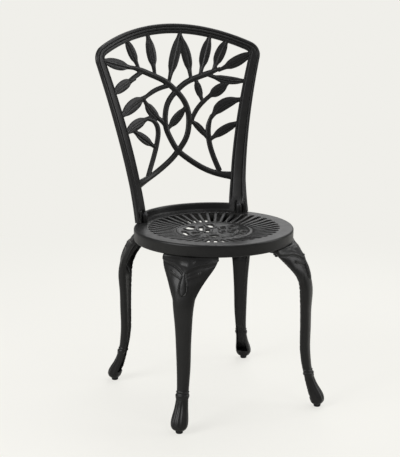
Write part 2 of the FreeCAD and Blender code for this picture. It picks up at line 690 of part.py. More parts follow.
def hoop_places():
    """The stiles and the arched rail as one line, from the left foot over the top to the right."""
    turn = corner_turn()
    corner_level, corner_across = turn[0].y, turn[-1].x
    waist = rim_level() + 0.17 * size("back_height")
    right = []
    sunk = size("rim_thickness")
    for height, width in ((rim_level() - sunk, size("stile_foot_width")),
                          (rim_level() + sunk, size("stile_foot_width")),
                          ((rim_level() + waist) / 2, (size("stile_foot_width") + size("stile_waist_width")) / 2),
                          (waist, size("stile_waist_width"))):
        right.append((half_span(height), height, width))
    for step in range(1, 5):
        height = waist + (corner_level - waist) * step / 5
        width = size("stile_waist_width") + (size("stile_top_width") - size("stile_waist_width")) * step / 5
        right.append((half_span(height), height, width))
    right += [(point.x, point.y, size("stile_top_width")) for point in turn]
    for step in range(1, 5):
        across = corner_across * (1 - step / 5)
        right.append((across, arch_height(across), size("rail_width")))
    left = [(-across, height, width) for across, height, width in right]
    return left + [(0, arch_height(0), size("rail_width"))] + right[::-1]


def thickness_at(height):
    """Thickness of the stiles, which thin out as they rise."""
    foot, top = size("back_foot_thickness"), size("back_thickness")
    share = (height - rim_level()) / (arch_height(size("back_top_half")) - rim_level())
    return foot + (top - foot) * min(max(share, 0), 1)


def moulded(point, across, normal, width):
    """The moulded section of a stile: two grooves in front, softened in front and bevelled behind."""
    half, front = width / 2, thickness_at(point.z) / 2
    soft, groove, bevel = size("back_front_bevel"), size("groove_depth"), size("back_rear_bevel")
    right_half = ((0.17 * width, front), (0.24 * width, front - groove), (0.31 * width, front),
                  (half - soft, front), (half, front - soft), (half, bevel - front), (half - bevel, -front))
    left_half = [(-side, deep) for side, deep in right_half[::-1]]
    ring = [point + across * side + normal * deep for side, deep in list(right_half) + left_half]
    return Part.makePolygon(ring + ring[:1])


def hoop():
    places = hoop_places()
    frames = lined_up([place[:2] for place in places])
    return loft([moulded(point, across, normal, place[2])
                 for (point, _, across, normal), place in zip(frames, places)])


def back_bolt_places():
    for side in (-1, 1):
        angle = math.radians(side * size("back_bolt_angle"))
        yield Vector(size("back_bolt_radius") * math.sin(angle), size("back_bolt_radius") * math.cos(angle), 0)


def backrest_shape():
    level = rim_level()
    pieces = [hoop()]
    for share, pairs in zip((1, 0.94), MAIN_STEMS):
        pieces.append(stem(pairs, size("stem_width"), share * size("stem_thickness"), size("root_width")))
    for name, pairs in BRANCHES:
        pieces.append(stem(pairs, size(name + "_width"), size(name + "_thickness")))
    pieces += [leaf(*numbers) for numbers in LEAVES]
    half_wall = size("apron_thickness") / 2
    pieces.append(sector(foot_radius() - half_wall, foot_radius() + half_wall, level,
                         size("apron_height"), 90, size("stile_angle")))
    pieces += [Part.makeCylinder(size("back_boss_diameter") / 2, size("back_boss_height"), place + UP * level)
               for place in back_bolt_places()]
    whole = merged(pieces, "backrest")
    reach = 2 * size("seat_radius")
    below = Part.makeBox(2 * reach, 2 * reach, level, Vector(-reach, -reach, 0))
    drills = [Part.makeCylinder(size("thread_diameter") / 2 + size("bolt_clearance"),
                                2 * size("back_boss_height"), place + UP * (level - 1))
              for place in back_bolt_places()]
    return whole.cut(Part.makeCompound([below] + drills))


# Fastenings, each drawn once on the seat's middle line and copied to its places


def made(kind, name, **expressions):
    """A primitive whose properties are bound to expressions."""
    thing = doc.addObject(kind, name)
    for property_name, expression in expressions.items():
        bind(thing, property_name.replace("__", "."), expression)
    return thing


def ring_of(name, outer, height, inner, six_sided=False):
    """A flat ring, or a nut, with its bore."""
    if six_sided:
        blank = made("Part::Prism", name + "_blank", Circumradius=outer + " / cos(30)", Height=height)
        blank.Polygon = 6
    else:
        blank = made("Part::Cylinder", name + "_blank", Radius=outer, Height=height)
    bore = made("Part::Cylinder", name + "_bore", Radius=inner, Height=height)
    cut = doc.addObject("Part::Cut", name + "_one")
    cut.Base, cut.Tool = blank, bore
    doc.recompute()
    return cut.Shape


def group(label, one, places):
    """One node that holds a copy of a fastening at each place."""
    feature = doc.addObject("Part::Feature", label)
    feature.Label = label
    copies = []
    for place in places:
        copy = one.copy()
        copy.translate(place)
        copies.append(copy)
    feature.Shape = Part.makeCompound(copies)
    return feature


def leg_turns():
    """Each leg's name and its angle from +X in degrees."""
    front, rear = size("front_leg_angle"), size("rear_leg_angle")
    return (("front_left", front - 180), ("front_right", -front),
            ("rear_right", rear), ("rear_left", 180 - rear))


def leg_fastenings():
    """Studs, washers, spring washers and nuts under the legs' flanges."""
    places = []
    for _, degrees in leg_turns():
        spin = FreeCAD.Rotation(UP, degrees)
        places += [spin.multVec(place) for place in boss_places()]
    level = leg_top()
    under = level - size("flange_thickness")
    plain = "Sizes.thread_diameter / 2 + Sizes.bolt_clearance"
    washer = ring_of("washer", "Sizes.washer_diameter / 2", "Sizes.washer_thickness", plain)
    spring = ring_of("spring", "Sizes.spring_diameter / 2", "Sizes.spring_thickness", plain)
    nut = ring_of("nut", "Sizes.nut_across / 2", "Sizes.nut_height", "Sizes.thread_diameter / 2", True)
    stack = size("washer_thickness") + size("spring_thickness") + size("nut_height")
    stud = made("Part::Cylinder", "stud_one", Radius="Sizes.thread_diameter / 2",
                Height="Sizes.stud_depth + Sizes.flange_thickness + Sizes.washer_thickness"
                       " + Sizes.spring_thickness + Sizes.nut_height + Sizes.stud_overhang")
    doc.recompute()
    washer_level = under - size("washer_thickness")
    spring_level = washer_level - size("spring_thickness")
    return [group("leg_studs", stud.Shape, [p + UP * (under - stack - size("stud_overhang")) for p in places]),
            group("leg_washers", washer, [p + UP * washer_level for p in places]),
            group("leg_spring_washers", spring, [p + UP * spring_level for p in places]),
            group("leg_nuts", nut, [p + UP * (under - stack) for p in places])]


def back_fastenings():
    """Domed bolts down through the back's bosses, with washers and nuts under the rim."""
    places = list(back_bolt_places())
    top = rim_level() + size("back_boss_height")
    under = rim_level() - size("rim_thickness")
    nut_level = under - size("washer_thickness") - size("nut_height")
    radius, height = size("cap_diameter") / 2, size("cap_height")
    ball = (radius ** 2 + height ** 2) / (2 * height)
    cap = Part.makeSphere(ball, Vector(0, 0, height - ball)).common(Part.makeCylinder(radius, height))
    length = top - nut_level + size("bolt_overhang")
    shank = Part.makeCylinder(size("thread_diameter") / 2, length, Vector(0, 0, -length))
    washer = doc.getObject("washer_one").Shape
    nut = doc.getObject("nut_one").Shape
    return [group("back_bolts", merged([cap, shank], "back bolt"), [p + UP * top for p in places]),
            group("back_washers", washer,
                  [p + UP * (under - size("washer_thickness")) for p in places]),
            group("back_nuts", nut, [p + UP * nut_level for p in places])]


def glide(name, degrees):
    """A plastic glide whose peg is pressed up into the foot."""
    along = "Sizes.foot_radius * cos(%s)" % degrees
    beside = "Sizes.foot_radius * sin(%s)" % degrees
    pad = made("Part::Cone", name + "_pad", Radius1="Sizes.glide_diameter / 2 - 1",
               Radius2="Sizes.glide_diameter / 2", Height="Sizes.glide_height",
               Placement__Base__x=along, Placement__Base__y=beside)
    peg = made("Part::Cylinder", name + "_peg", Radius="Sizes.peg_diameter / 2",
               Height="Sizes.glide_height + Sizes.peg_length",
               Placement__Base__x=along, Placement__Base__y=beside)
    whole = doc.addObject("Part::MultiFuse", name)
    whole.Shapes = [pad, peg]
    whole.Label = name
    return whole


def single(label, shape, degrees=0):
    feature = doc.addObject("Part::Feature", label)
    feature.Label = label
    feature.Shape = shape
    feature.Placement = FreeCAD.Placement(Vector(0, 0, 0), FreeCAD.Rotation(UP, degrees))
    return feature


def build():
    """Every piece of the chair, as an object of the document."""
    pieces = [seat(), single("backrest", backrest_shape())]
    leg = leg_shape()
    for name, degrees in leg_turns():
        pieces.append(single("leg_" + name, leg, degrees))
        pieces.append(glide("glide_" + name, degrees))
    pieces += leg_fastenings()
    pieces += back_fastenings()
    doc.recompute()
    return pieces


def check(pieces):
    """Stops the run if any object failed or any piece is empty or broken."""
    for thing in doc.Objects:
        if "Invalid" in thing.State or "Error" in thing.State:
            raise RuntimeError("%s is %s" % (thing.Name, thing.State))
    for piece in pieces:
        if piece.Shape.isNull() or not piece.Shape.isValid() or not piece.Shape.Solids:
            raise RuntimeError(piece.Label + " has no sound shape")


def write(pieces):
    os.makedirs("parts", exist_ok=True)
    for piece in pieces:
        piece.Shape.exportStep(os.path.join("parts", piece.Label + ".step"))
        box = piece.Shape.BoundBox
        print("%-20s %2d solid(s) %9.0f mm3  x %.1f..%.1f  y %.1f..%.1f  z %.1f..%.1f" % (
            piece.Label, len(piece.Shape.Solids), piece.Shape.Volume,
            box.XMin, box.XMax, box.YMin, box.YMax, box.ZMin, box.ZMax))


all_pieces = build()
check(all_pieces)
write(all_pieces)
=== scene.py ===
"""Looks of the round garden chair: smooth castings with a black powder coat, on a pale floor.

Lengths are in metres. +Z is up, the sitter faces -Y, and the origin is on the floor under the
middle of the seat.
"""
import math

import bpy
import numpy as np
from bpy.props import FloatProperty, FloatVectorProperty, PointerProperty
from mathutils import Matrix, Vector
from mathutils.kdtree import KDTree


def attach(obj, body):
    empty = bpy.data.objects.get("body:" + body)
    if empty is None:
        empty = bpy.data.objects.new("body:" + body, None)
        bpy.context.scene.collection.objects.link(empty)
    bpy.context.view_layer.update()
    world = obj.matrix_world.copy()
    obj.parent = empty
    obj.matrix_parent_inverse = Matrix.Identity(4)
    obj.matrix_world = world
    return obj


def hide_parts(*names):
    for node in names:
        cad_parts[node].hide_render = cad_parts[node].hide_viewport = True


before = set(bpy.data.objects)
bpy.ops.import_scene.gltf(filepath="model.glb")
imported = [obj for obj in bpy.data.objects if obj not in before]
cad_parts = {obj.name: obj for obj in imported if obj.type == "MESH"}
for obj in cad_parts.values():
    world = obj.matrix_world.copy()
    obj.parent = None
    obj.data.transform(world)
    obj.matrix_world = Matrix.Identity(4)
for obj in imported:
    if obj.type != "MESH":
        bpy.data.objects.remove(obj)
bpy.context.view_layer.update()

bl_info = {
    "name": "Garden chair",
    "version": (1, 0, 0),
    "blender": (4, 5, 0),
    "location": "View3D > Sidebar > Chair",
    "description": "Models the castings, glides and fastenings of a round garden chair",
    "category": "Object",
}

# The seat: a flat rim with a skirt, round a dished pan with radial slots.
SEAT_LEVEL = 0.441
SEAT_RADIUS = 0.2
SKIRT_FOOT = 0.411
RIM_UNDERSIDE = 0.434
PAN_RADIUS = 0.168
PAN_DEPTH = 0.016
PAN_GRAIN = 0.0011
SLOTS = 44
SLOT_ENDS = (0.097, 0.166)
SLOT_WIDTHS = (0.005, 0.012)
MEDALLION_EDGE = 0.095
SKIRT_INSIDE = 0.195
BOSS_TOP = 0.436

# The back: two stiles under an arched rail, bowed about the sitter and leaning back.
BACK_HEIGHT = 0.489
BACK_FOOT_RADIUS = 0.194
STILE_ANGLE = math.radians(46.8)
BACK_TOP_HALF = 0.224
BACK_TOP_BOW = 0.054
BACK_FLATTEN = 0.0095
STILE_CURVE = 1.57
BACK_LEAN = 0.045
BACK_SWEEP = 0.025
ARCH_RADIUS = 0.474
CORNER_RADIUS = 0.022
RAIL_WIDTH = 0.0255
STILE_WIDTHS = (0.051, 0.04, 0.0295)
BACK_THICKNESSES = (0.015, 0.0105)
# Across, depth and top of the right bolt's boss.
BACK_BOLT = (0.13556, 0.11994, 0.46)
BACK_FOOT = 0.4385
WAIST = 0.17
LEDGE = 0.4
# The low wall between the stiles, as (radius, height).
WALL_OUTLINE = (
    (0.1858, 0.4402), (0.1862, 0.4414), (0.1878, 0.4424), (0.1889, 0.4442), (0.1893, 0.447),
    (0.1895, 0.4575), (0.1901, 0.4601), (0.1916, 0.4616), (0.194, 0.462), (0.1964, 0.4616),
    (0.1979, 0.4601), (0.1985, 0.4575), (0.1987, 0.445), (0.1992, 0.4428), (0.1992, 0.4402),
)

# The vine, as pairs: across from -1 at the left stile to 1 at the right one, and up from 0 at the
# seat to 1 at the top of the arch.
MAIN_STEMS = (
    ((-1, 0.176), (-0.582, 0.21), (-0.288, 0.253), (-0.082, 0.299), (0.03, 0.336), (0.16, 0.396),
     (0.21, 0.471), (0.2, 0.537), (0.12, 0.606), (0.012, 0.654), (-0.1, 0.694), (-0.298, 0.736),
     (-0.488, 0.771), (-0.6, 0.786)),
    ((1, 0.185), (0.658, 0.2), (0.332, 0.249), (0.14, 0.292), (-0.01, 0.336), (-0.11, 0.394),
     (-0.172, 0.451), (-0.16, 0.533), (-0.12, 0.576), (-0.022, 0.625), (0.032, 0.644), (0.186, 0.689),
     (0.318, 0.711), (0.452, 0.729), (0.63, 0.758)),
)
# The main stems are as wide as each other, and spread out at the root on a stile.
MAIN_WIDTH = 0.0158
MAIN_THICKNESSES = (0.0116, 0.011)
ROOT_WIDTH = 0.027
# Width and thickness of the two kinds of side branch, and the kind and line of each.
BOUGH = (0.0148, 0.0102)
TWIG = (0.013, 0.0096)
BRANCHES = (
    (BOUGH, ((-0.648, 0.212), (-0.43, 0.334), (-0.35, 0.398), (-0.33, 0.471), (-0.39, 0.499),
             (-0.47, 0.508))),
    (TWIG, ((-0.072, 0.676), (-0.278, 0.656), (-0.5, 0.612))),
    (TWIG, ((0.23, 0.47), (0.32, 0.535), (0.436, 0.586), (0.546, 0.618))),
    (BOUGH, ((0.718, 0.211), (0.608, 0.292), (0.538, 0.366), (0.518, 0.411), (0.518, 0.457),
             (0.56, 0.512))),
    (TWIG, ((-0.428, 0.758), (-0.53, 0.737), (-0.658, 0.715))),
    (TWIG, ((-0.38, 0.52), (-0.26, 0.5), (-0.172, 0.455))),
)
# Root, tip, width and bend of each leaf.
LEAVES = (
    ((-0.533, 0.776), (-1, 0.836), 0.028, 0.01), ((0.602, 0.746), (1, 0.853), 0.028, -0.02),
    ((-0.473, 0.777), (-0.568, 0.94), 0.025, -0.01), ((-0.253, 0.742), (-0.273, 0.96), 0.028, -0.01),
    ((-0.07, 0.688), (0.14, 0.972), 0.028, 0), ((0.25, 0.706), (0.115, 0.955), 0.026, -0.03),
    ((0.374, 0.724), (0.481, 0.948), 0.027, 0.01), ((0.539, 0.743), (0.683, 0.925), 0.027, 0.02),
    ((-0.548, 0.724), (-1, 0.649), 0.027, -0.03), ((-0.404, 0.633), (-0.985, 0.53), 0.032, -0.02),
    ((-0.487, 0.614), (-0.242, 0.491), 0.026, -0.05), ((-0.416, 0.518), (-0.99, 0.443), 0.027, -0.03),
    ((-0.402, 0.355), (-0.79, 0.463), 0.023, 0), ((0.47, 0.725), (1, 0.691), 0.021, -0.06),
    ((0.313, 0.712), (0.41, 0.59), 0.019, -0.02), ((0.464, 0.6), (0.762, 0.689), 0.028, -0.02),
    ((0.529, 0.481), (0.985, 0.595), 0.03, 0.14), ((0.525, 0.373), (0.99, 0.479), 0.023, 0.03),
    ((0.221, 0.493), (0.517, 0.384), 0.017, 0.05), ((-0.171, 0.441), (0.183, 0.564), 0.023, -0.01),
)
LEAF_SHAPE = ((0, 0), (0.14, 0.12), (0.32, 0.78), (0.5, 1), (0.68, 0.8), (0.88, 0.15), (1, 0))
LEAF_NECK = 0.009
# A leaf's section, as (share of the width, metres towards the sitter).
LEAF_SECTION = (
    (-0.5, -0.0017), (-0.5, 0.0017), (-0.3, 0.0029), (-0.12, 0.0039), (0, 0.0045), (0.12, 0.0039),
    (0.3, 0.0029), (0.5, 0.0017), (0.5, -0.0017), (0.25, -0.0031), (0, -0.0042), (-0.25, -0.0031),
)
VINE_GRAIN = 0.00095

# The middle of a leg from the floor up: height, distance from the chair's middle, depth.
LEG_LINE = (
    (0.008, 0.277, 0.0206), (0.0161, 0.277, 0.033), (0.0277, 0.2746, 0.0355), (0.0394, 0.2699, 0.033),
    (0.054, 0.2628, 0.028), (0.0701, 0.2567, 0.0245), (0.0847, 0.2523, 0.0227), (0.0993, 0.249, 0.022),
    (0.1168, 0.2462, 0.0227), (0.146, 0.2432, 0.0236), (0.208, 0.2432, 0.024), (0.2545, 0.2432, 0.0243),
    (0.301, 0.2432, 0.0275), (0.3307, 0.2359, 0.0315), (0.3516, 0.2269, 0.0375), (0.3714, 0.2145, 0.043),
    (0.3923, 0.1999, 0.047), (0.411, 0.187, 0.038),
)
LEG_TURNS = {"front_left": -133.6, "front_right": -46.4, "rear_right": 45.3, "rear_left": 134.7}
FOOT_RADIUS = 0.277
LEG_GRAIN = 0.0012
FLUTES = 10
COLLAR_RINGS = (0.0943, 0.0795)
CHANNEL_FILL = 0.7
BOSS_RADIUS = 0.181
BOSS_SPREAD = 13

# Ornament on the knee: beads as lines of (across, height), drawn for one side and mirrored.
KNEE_EDGE = (
    (0.003, 0.381), (0.0114, 0.3877), (0.0256, 0.3944), (0.0381, 0.3973), (0.0549, 0.3985), (0.066, 0.4),
)
KNEE_CURL = ((0.0075, 0.367), (0.015, 0.3715), (0.026, 0.3758), (0.035, 0.38))
TONGUE_TOP = 0.384
TONGUE_LENGTH = 0.055
TONGUE_HALF = 0.0155
SHIELD_RISE = 0.0011
HOLLOW_DEPTH = 0.0021

# Fastenings: heights in the stack under a leg's flange, the rods' sizes, half a nut's width, and
# outlines of (radius, height).
FLANGE_UNDERSIDE = 0.402
WASHER = 0.0016
SPRING = 0.002
NUT = 0.0065
OVERHANG = 0.004
THREAD_PITCH = 0.00125
THREAD_LENGTH = 0.0056
ROD_RADIUS = 0.004
CORE_RADIUS = 0.0031
STUD_TOP = 0.427
NUT_HALF = 0.0065
WASHER_OUTLINE = ((0.0076, 0), (0.008, 0.0002), (0.008, 0.0014), (0.0078, WASHER))
NUT_OUTLINE = (
    (0.0058, 0), (0.0066, 0.0003), (0.0078, 0.001), (0.0078, 0.0055), (0.0066, 0.0062), (0.0058, NUT),
)
CAP_OUTLINE = (
    (0.0052, -0.0002), (0.0068, 0), (0.007, 0.0005), (0.0066, 0.0019), (0.0055, 0.0036),
    (0.0043, 0.0047), (0.0033, 0.0053), (0.0026, 0.0055), (0.0024, 0.0052), (0.0022, 0.0028),
)
GLIDE_OUTLINE = (
    (0.0068, 0), (0.0078, 0.0003), (0.0084, 0.001), (0.0088, 0.003), (0.0092, 0.0062), (0.0094, 0.0073),
    (0.0092, 0.0078), (0.0078, 0.008), (0.003, 0.008), (0.003, 0.0175), (0.0022, 0.0195),
)

MOST_TRIANGLES = 170000
SMOOTH_ANGLE = math.radians(48)

# The stage: name, watts, azimuth, elevation, distance, width and height of each soft box.
LAMPS = (
    ("left_box", 47, -82, 26, 2.6, 1.4, 1.6),
    ("right_box", 22, 66, 24, 2.6, 1.2, 2.0),
    ("front_box", 13, 12, 47, 2.8, 1.2, 1.2),
    ("rear_box", 9, 142, 22, 2.8, 2.0, 1.2),
    ("top_box", 37, 130, 58, 2.6, 1.8, 1.4),
)
LAMP_AIM = Vector((0, 0, 0.5))
WORLD_STRENGTH = 0.3
FLOOR_SIZE = 120
CAMERA_PLACE = (-1.2434, -2.4594, 1.0811)
CAMERA_TURN = (math.radians(76.81), 0, math.radians(-26.11))
CAMERA_LENS = 88.88


class ChairSizes(bpy.types.PropertyGroup):
    """The small sizes of the castings' finish."""
    groove: FloatProperty(name="Moulding groove", description="Depth of the grooves along the back's frame",
                          default=0.0017, unit="LENGTH")
    leaf_rib: FloatProperty(name="Leaf rib", description="Rise of the rib along each leaf",
                            default=0.0013, unit="LENGTH")
    rib_crown: FloatProperty(name="Seat rib crown", description="Rounding of the ribs between the slots",
                             default=0.0012, unit="LENGTH")
    tongue: FloatProperty(name="Knee leaf", description="Rise of the hanging leaf on each knee",
                          default=0.0024, unit="LENGTH")
    bead: FloatProperty(name="Knee bead", description="Rise of the beads on each knee",
                        default=0.0016, unit="LENGTH")
    flute: FloatProperty(name="Foot flutes", description="Depth of the flutes round each foot",
                         default=0.0011, unit="LENGTH")
    grain: FloatProperty(name="Coat grain", description="Width of the grains in the powder coat",
                         default=0.0009, unit="LENGTH")


class ChairColours(bpy.types.PropertyGroup):
    """The colours of the chair and of its floor."""
    coat: FloatVectorProperty(name="Powder coat", description="Colour of the castings", subtype="COLOR",
                              size=4, default=(0.009, 0.009, 0.009, 1), min=0, max=1)
    steel: FloatVectorProperty(name="Fastenings", description="Colour of the coated nuts and bolts",
                               subtype="COLOR", size=4, default=(0.02, 0.02, 0.022, 1), min=0, max=1)
    glide: FloatVectorProperty(name="Glides", description="Colour of the plastic glides", subtype="COLOR",
                               size=4, default=(0.015, 0.015, 0.016, 1), min=0, max=1)
    floor: FloatVectorProperty(name="Floor", description="Colour of the floor and the backdrop",
                               subtype="COLOR", size=4, default=(0.871, 0.863, 0.822, 1), min=0, max=1)


def sizes():
    """The sizes set in the panel."""
    return bpy.context.scene.chair_sizes


def colours():
    """The colours set in the panel."""
    return bpy.context.scene.chair_colours


# Mesh helpers


def pick(thing):
    """Makes one object the active one, and the only one selected."""
    bpy.ops.object.select_all(action="DESELECT")
    thing.select_set(True)
    bpy.context.view_layer.objects.active = thing


def placed(name, data):
    """A new object in the scene that shows the given mesh, light or camera."""
    thing = bpy.data.objects.new(name, data)
    bpy.context.scene.collection.objects.link(thing)
    return thing


def new_object(name, points, faces=(), edges=()):
    mesh = bpy.data.meshes.new(name)
    mesh.from_pydata([tuple(point) for point in points], list(edges), list(faces))
    return placed(name, mesh)


def edited(thing, operator, **settings):
    """Runs one edit-mode operator on the whole of a mesh."""
    pick(thing)
    bpy.ops.object.mode_set(mode="EDIT")
    bpy.ops.mesh.select_all(action="SELECT")
    operator(**settings)
    bpy.ops.object.mode_set(mode="OBJECT")


def face_outwards(thing):
    """Joins a mesh's doubled points and turns all its faces outwards."""
    edited(thing, bpy.ops.mesh.remove_doubles, threshold=1e-6)
    edited(thing, bpy.ops.mesh.normals_make_consistent, inside=False)


def polar(radius, angle, height=0):
    """The point at a radius and an angle round the upright middle line."""
    return Vector((radius * math.cos(angle), radius * math.sin(angle), height))


def skin(name, rings):
    """An object whose skin joins rings of points, capped at both ends."""
    count, last = len(rings[0]), len(rings) - 1
    points = [point for ring in rings for point in ring]
    faces = []
    for start in range(0, last * count, count):
        for j in range(count):
            beside = (j + 1) % count
            faces.append((start + j, start + beside, start + count + beside, start + count + j))
    faces += [tuple(range(count)), tuple(range(last * count, len(points)))]
    thing = new_object(name, points, faces)
    face_outwards(thing)
    return thing


def spun(name, outline, steps, start, sweep):
    """A closed outline of (radius, height) spun clockwise about the chair's upright middle line."""
    points = [polar(radius, start, height) for radius, height in outline]
    edges = [(i, (i + 1) % len(points)) for i in range(len(points))]
    thing = new_object(name, points, edges=edges)
    edited(thing, bpy.ops.mesh.spin, steps=steps, angle=sweep, center=(0, 0, 0), axis=(0, 0, 1))
    face_outwards(thing)
    return thing


def modified(thing, kind, **settings):
    """Adds one modifier and applies it."""
    pick(thing)
    modifier = thing.modifiers.new(kind.lower(), kind)
    for name, value in settings.items():
        setattr(modifier, name, value)
    bpy.ops.object.modifier_apply(modifier=modifier.name)


def cylinder(radius, low, high, place=Vector((0, 0)), vertices=40, bevel=0):
    """An upright cylinder between two levels, with its edges rounded if a bevel is given."""
    bpy.ops.object.select_all(action="DESELECT")
    bpy.ops.mesh.primitive_cylinder_add(vertices=vertices, radius=radius, depth=high - low,
                                        location=(place.x, place.y, (low + high) / 2))
    thing = bpy.context.object
    bpy.ops.object.transform_apply()
    if bevel:
        modified(thing, "BEVEL", width=bevel, segments=3, limit_method="ANGLE")
    return thing


def joined(name, things):
    """One object made of several."""
    pick(things[0])
    for thing in things:
        thing.select_set(True)
    bpy.ops.object.join()
    whole = bpy.context.object
    whole.name = whole.data.name = name
    return whole


def copied(name, node):
    """A copy of a CAD node's mesh, with its loose triangles joined."""
    thing = placed(name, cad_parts[node].data.copy())
    edited(thing, bpy.ops.mesh.remove_doubles, threshold=1e-5)
    return thing


def cast_smooth(thing, grain, rounds):
    """Skins a mesh afresh, in voxels of one grain, and softens its joints and edges as in a casting."""
    modified(thing, "REMESH", mode="VOXEL", voxel_size=grain, adaptivity=0, use_smooth_shade=True)
    modified(thing, "SMOOTH", factor=0.6, iterations=rounds)
    return thing


def thinned(thing):
    """Takes out the triangles that flat places don't need, down to a set number."""
    count = sum(len(face.vertices) - 2 for face in thing.data.polygons)
    if count > MOST_TRIANGLES:
        modified(thing, "DECIMATE", ratio=MOST_TRIANGLES / count)
    return thing


def points_of(thing):
    """The mesh's points and normals as two arrays."""
    mesh = thing.data
    places, normals = np.empty((2, len(mesh.vertices) * 3))
    mesh.vertices.foreach_get("co", places)
    mesh.vertex_normals.foreach_get("vector", normals)
    return places.reshape(-1, 3), normals.reshape(-1, 3)


def move_points(thing, places):
    thing.data.vertices.foreach_set("co", places.ravel())
    thing.data.update()


def eased(value, low, high):
    """0 below low, 1 above high and smooth between."""
    share = np.clip((value - low) / (high - low), 0, 1)
    return share * share * (3 - 2 * share)


def hump(distance, width):
    """A smooth ridge: 1 at no distance, and fading out over its width."""
    return np.exp(-(distance / width) ** 2)


def smooth_line(points, count):
    """Evenly spread points on a smooth curve through the given ones."""
    knots = np.array(points, float)
    gaps = np.linalg.norm(np.diff(knots, axis=0), axis=1)
    stations = np.concatenate(([0], np.cumsum(gaps)))
    last = len(knots) - 1
    system, wanted = np.eye(last + 1), np.zeros_like(knots)
    for i in range(1, last):
        system[i, i - 1:i + 2] = gaps[i - 1], 2 * (gaps[i - 1] + gaps[i]), gaps[i]
        wanted[i] = 6 * ((knots[i + 1] - knots[i]) / gaps[i] - (knots[i] - knots[i - 1]) / gaps[i - 1])
    bends = np.linalg.solve(system, wanted)
    line = []
    for station in np.linspace(0, stations[-1], count):
        i = min(np.searchsorted(stations, station, side="right") - 1, last - 1)
        before, after = (stations[i + 1] - station) / gaps[i], (station - stations[i]) / gaps[i]
        line.append(before * knots[i] + after * knots[i + 1]
                    + ((before ** 3 - before) * bends[i] + (after ** 3 - after) * bends[i + 1])
                    * gaps[i] ** 2 / 6)
    return line


def distance_to(line, across, height):
    """How far each point of a front view is from a line of straight pieces."""
    nearest = np.full(across.shape, 1.0)
    for (x0, z0), (x1, z1) in zip(line, line[1:]):
        length = (x1 - x0) ** 2 + (z1 - z0) ** 2
        share = np.clip(((across - x0) * (x1 - x0) + (height - z0) * (z1 - z0)) / length, 0, 1)
        gap = np.hypot(across - x0 - share * (x1 - x0), height - z0 - share * (z1 - z0))
        nearest = np.minimum(nearest, gap)
    return nearest


# Materials


def added(tree, kind, out=None, inputs=(), **settings):
    """Adds a shader node, with a value or another node's socket in its inputs, and gives one output."""
    node = tree.nodes.new("ShaderNode" + kind)
    for name, value in settings.items():
        setattr(node, name, value)
    for label, value in dict(inputs).items():
        if isinstance(value, bpy.types.NodeSocket):
            tree.links.new(value, node.inputs[label])
        else:
            node.inputs[label].default_value = value
    return node.outputs[out] if out else node


def coat_group():
    """The grain, unevenness and rubbed edges of a powder coat, shared by all the coated pieces."""
    name = "Powder coat"
    if name in bpy.data.node_groups:
        return bpy.data.node_groups[name]
    group = bpy.data.node_groups.new(name, "ShaderNodeTree")
    numbers = ("Roughness", "Grains", "Relief", "Unevenness", "Rubbing")
    sockets = [("INPUT", "Colour", "Color")] + [("INPUT", label, "Float") for label in numbers]
    sockets += [("OUTPUT", "Colour", "Color"), ("OUTPUT", "Roughness", "Float"),
                ("OUTPUT", "Normal", "Vector")]
    for way, label, kind in sockets:
        group.interface.new_socket(label, in_out=way, socket_type="NodeSocket" + kind)
    given, result = group.nodes.new("NodeGroupInput").outputs, group.nodes.new("NodeGroupOutput").inputs

    # Fine grains on long, low waves make the coat's relief.
    place = added(group, "TexCoord", "Object")
    grains = added(group, "TexNoise", "Fac", {"Vector": place, "Scale": given["Grains"], "Detail": 2})
    waves = added(group, "TexNoise", "Fac", {"Vector": place, "Scale": 45, "Detail": 3})
    uneven = added(group, "Bump", "Normal",
                   {"Strength": 1, "Distance": given["Unevenness"], "Height": waves})
    rough = added(group, "Bump", "Normal",
                  {"Strength": 1, "Distance": given["Relief"], "Height": grains, "Normal": uneven})
    group.links.new(rough, result["Normal"])

    # Sharp edges are rubbed: paler than the coat, which varies a little, and smoother.
    edges = added(group, "MapRange", "Result",
                  {"Value": added(group, "NewGeometry", "Pointiness"), "From Min": 0.51, "From Max": 0.62},
                  interpolation_type="SMOOTHSTEP")
    rubbed = added(group, "Math", "Value", {0: edges, 1: given["Rubbing"]}, operation="MULTIPLY")
    shade = added(group, "MapRange", "Result", {"Value": waves, "To Min": 0.75, "To Max": 1.3})
    varied, pale = (added(group, "VectorMath", "Vector", {0: given["Colour"], "Scale": scale},
                          operation="SCALE") for scale in (shade, 2.6))
    blend = added(group, "Mix", "Result", {"Factor": rubbed, "A": varied, "B": pale}, data_type="RGBA")
    group.links.new(blend, result["Colour"])
    spread = added(group, "MapRange", "Result", {"Value": waves, "To Min": -0.07, "To Max": 0.07})
    dulled = added(group, "Math", "Value", {0: given["Roughness"], 1: spread})
    polished = added(group, "Math", "Value", {0: rubbed, 1: -0.12, 2: dulled}, operation="MULTIPLY_ADD")
    group.links.new(polished, result["Roughness"])
    return group


def coated(name, **values):
    """A material with the powder coat's group set to its own values."""
    material = bpy.data.materials.get(name)
    if material:
        return material
    material = bpy.data.materials.new(name)
    material.use_nodes = True
    tree = material.node_tree
    shader = tree.nodes["Principled BSDF"].inputs
    shader["Specular IOR Level"].default_value = 0.3
    coat = added(tree, "Group", inputs=values, node_tree=coat_group())
    for label, target in (("Colour", "Base Color"), ("Roughness", "Roughness"), ("Normal", "Normal")):
        tree.links.new(coat.outputs[label], shader[target])
    return material


def casting_coat():
    return coated("Black powder coat", Colour=colours().coat, Roughness=0.36, Grains=1 / sizes().grain,
                  Relief=0.00003, Unevenness=0.00035, Rubbing=0.5)


def steel_coat():
    return coated("Coated steel", Colour=colours().steel, Roughness=0.24, Grains=2200,
                  Relief=0.00001, Unevenness=0.0001, Rubbing=0.8)


def glide_plastic():
    return coated("Matt plastic", Colour=colours().glide, Roughness=0.6, Grains=1600,
                  Relief=0.00002, Unevenness=0.0001, Rubbing=0.3)


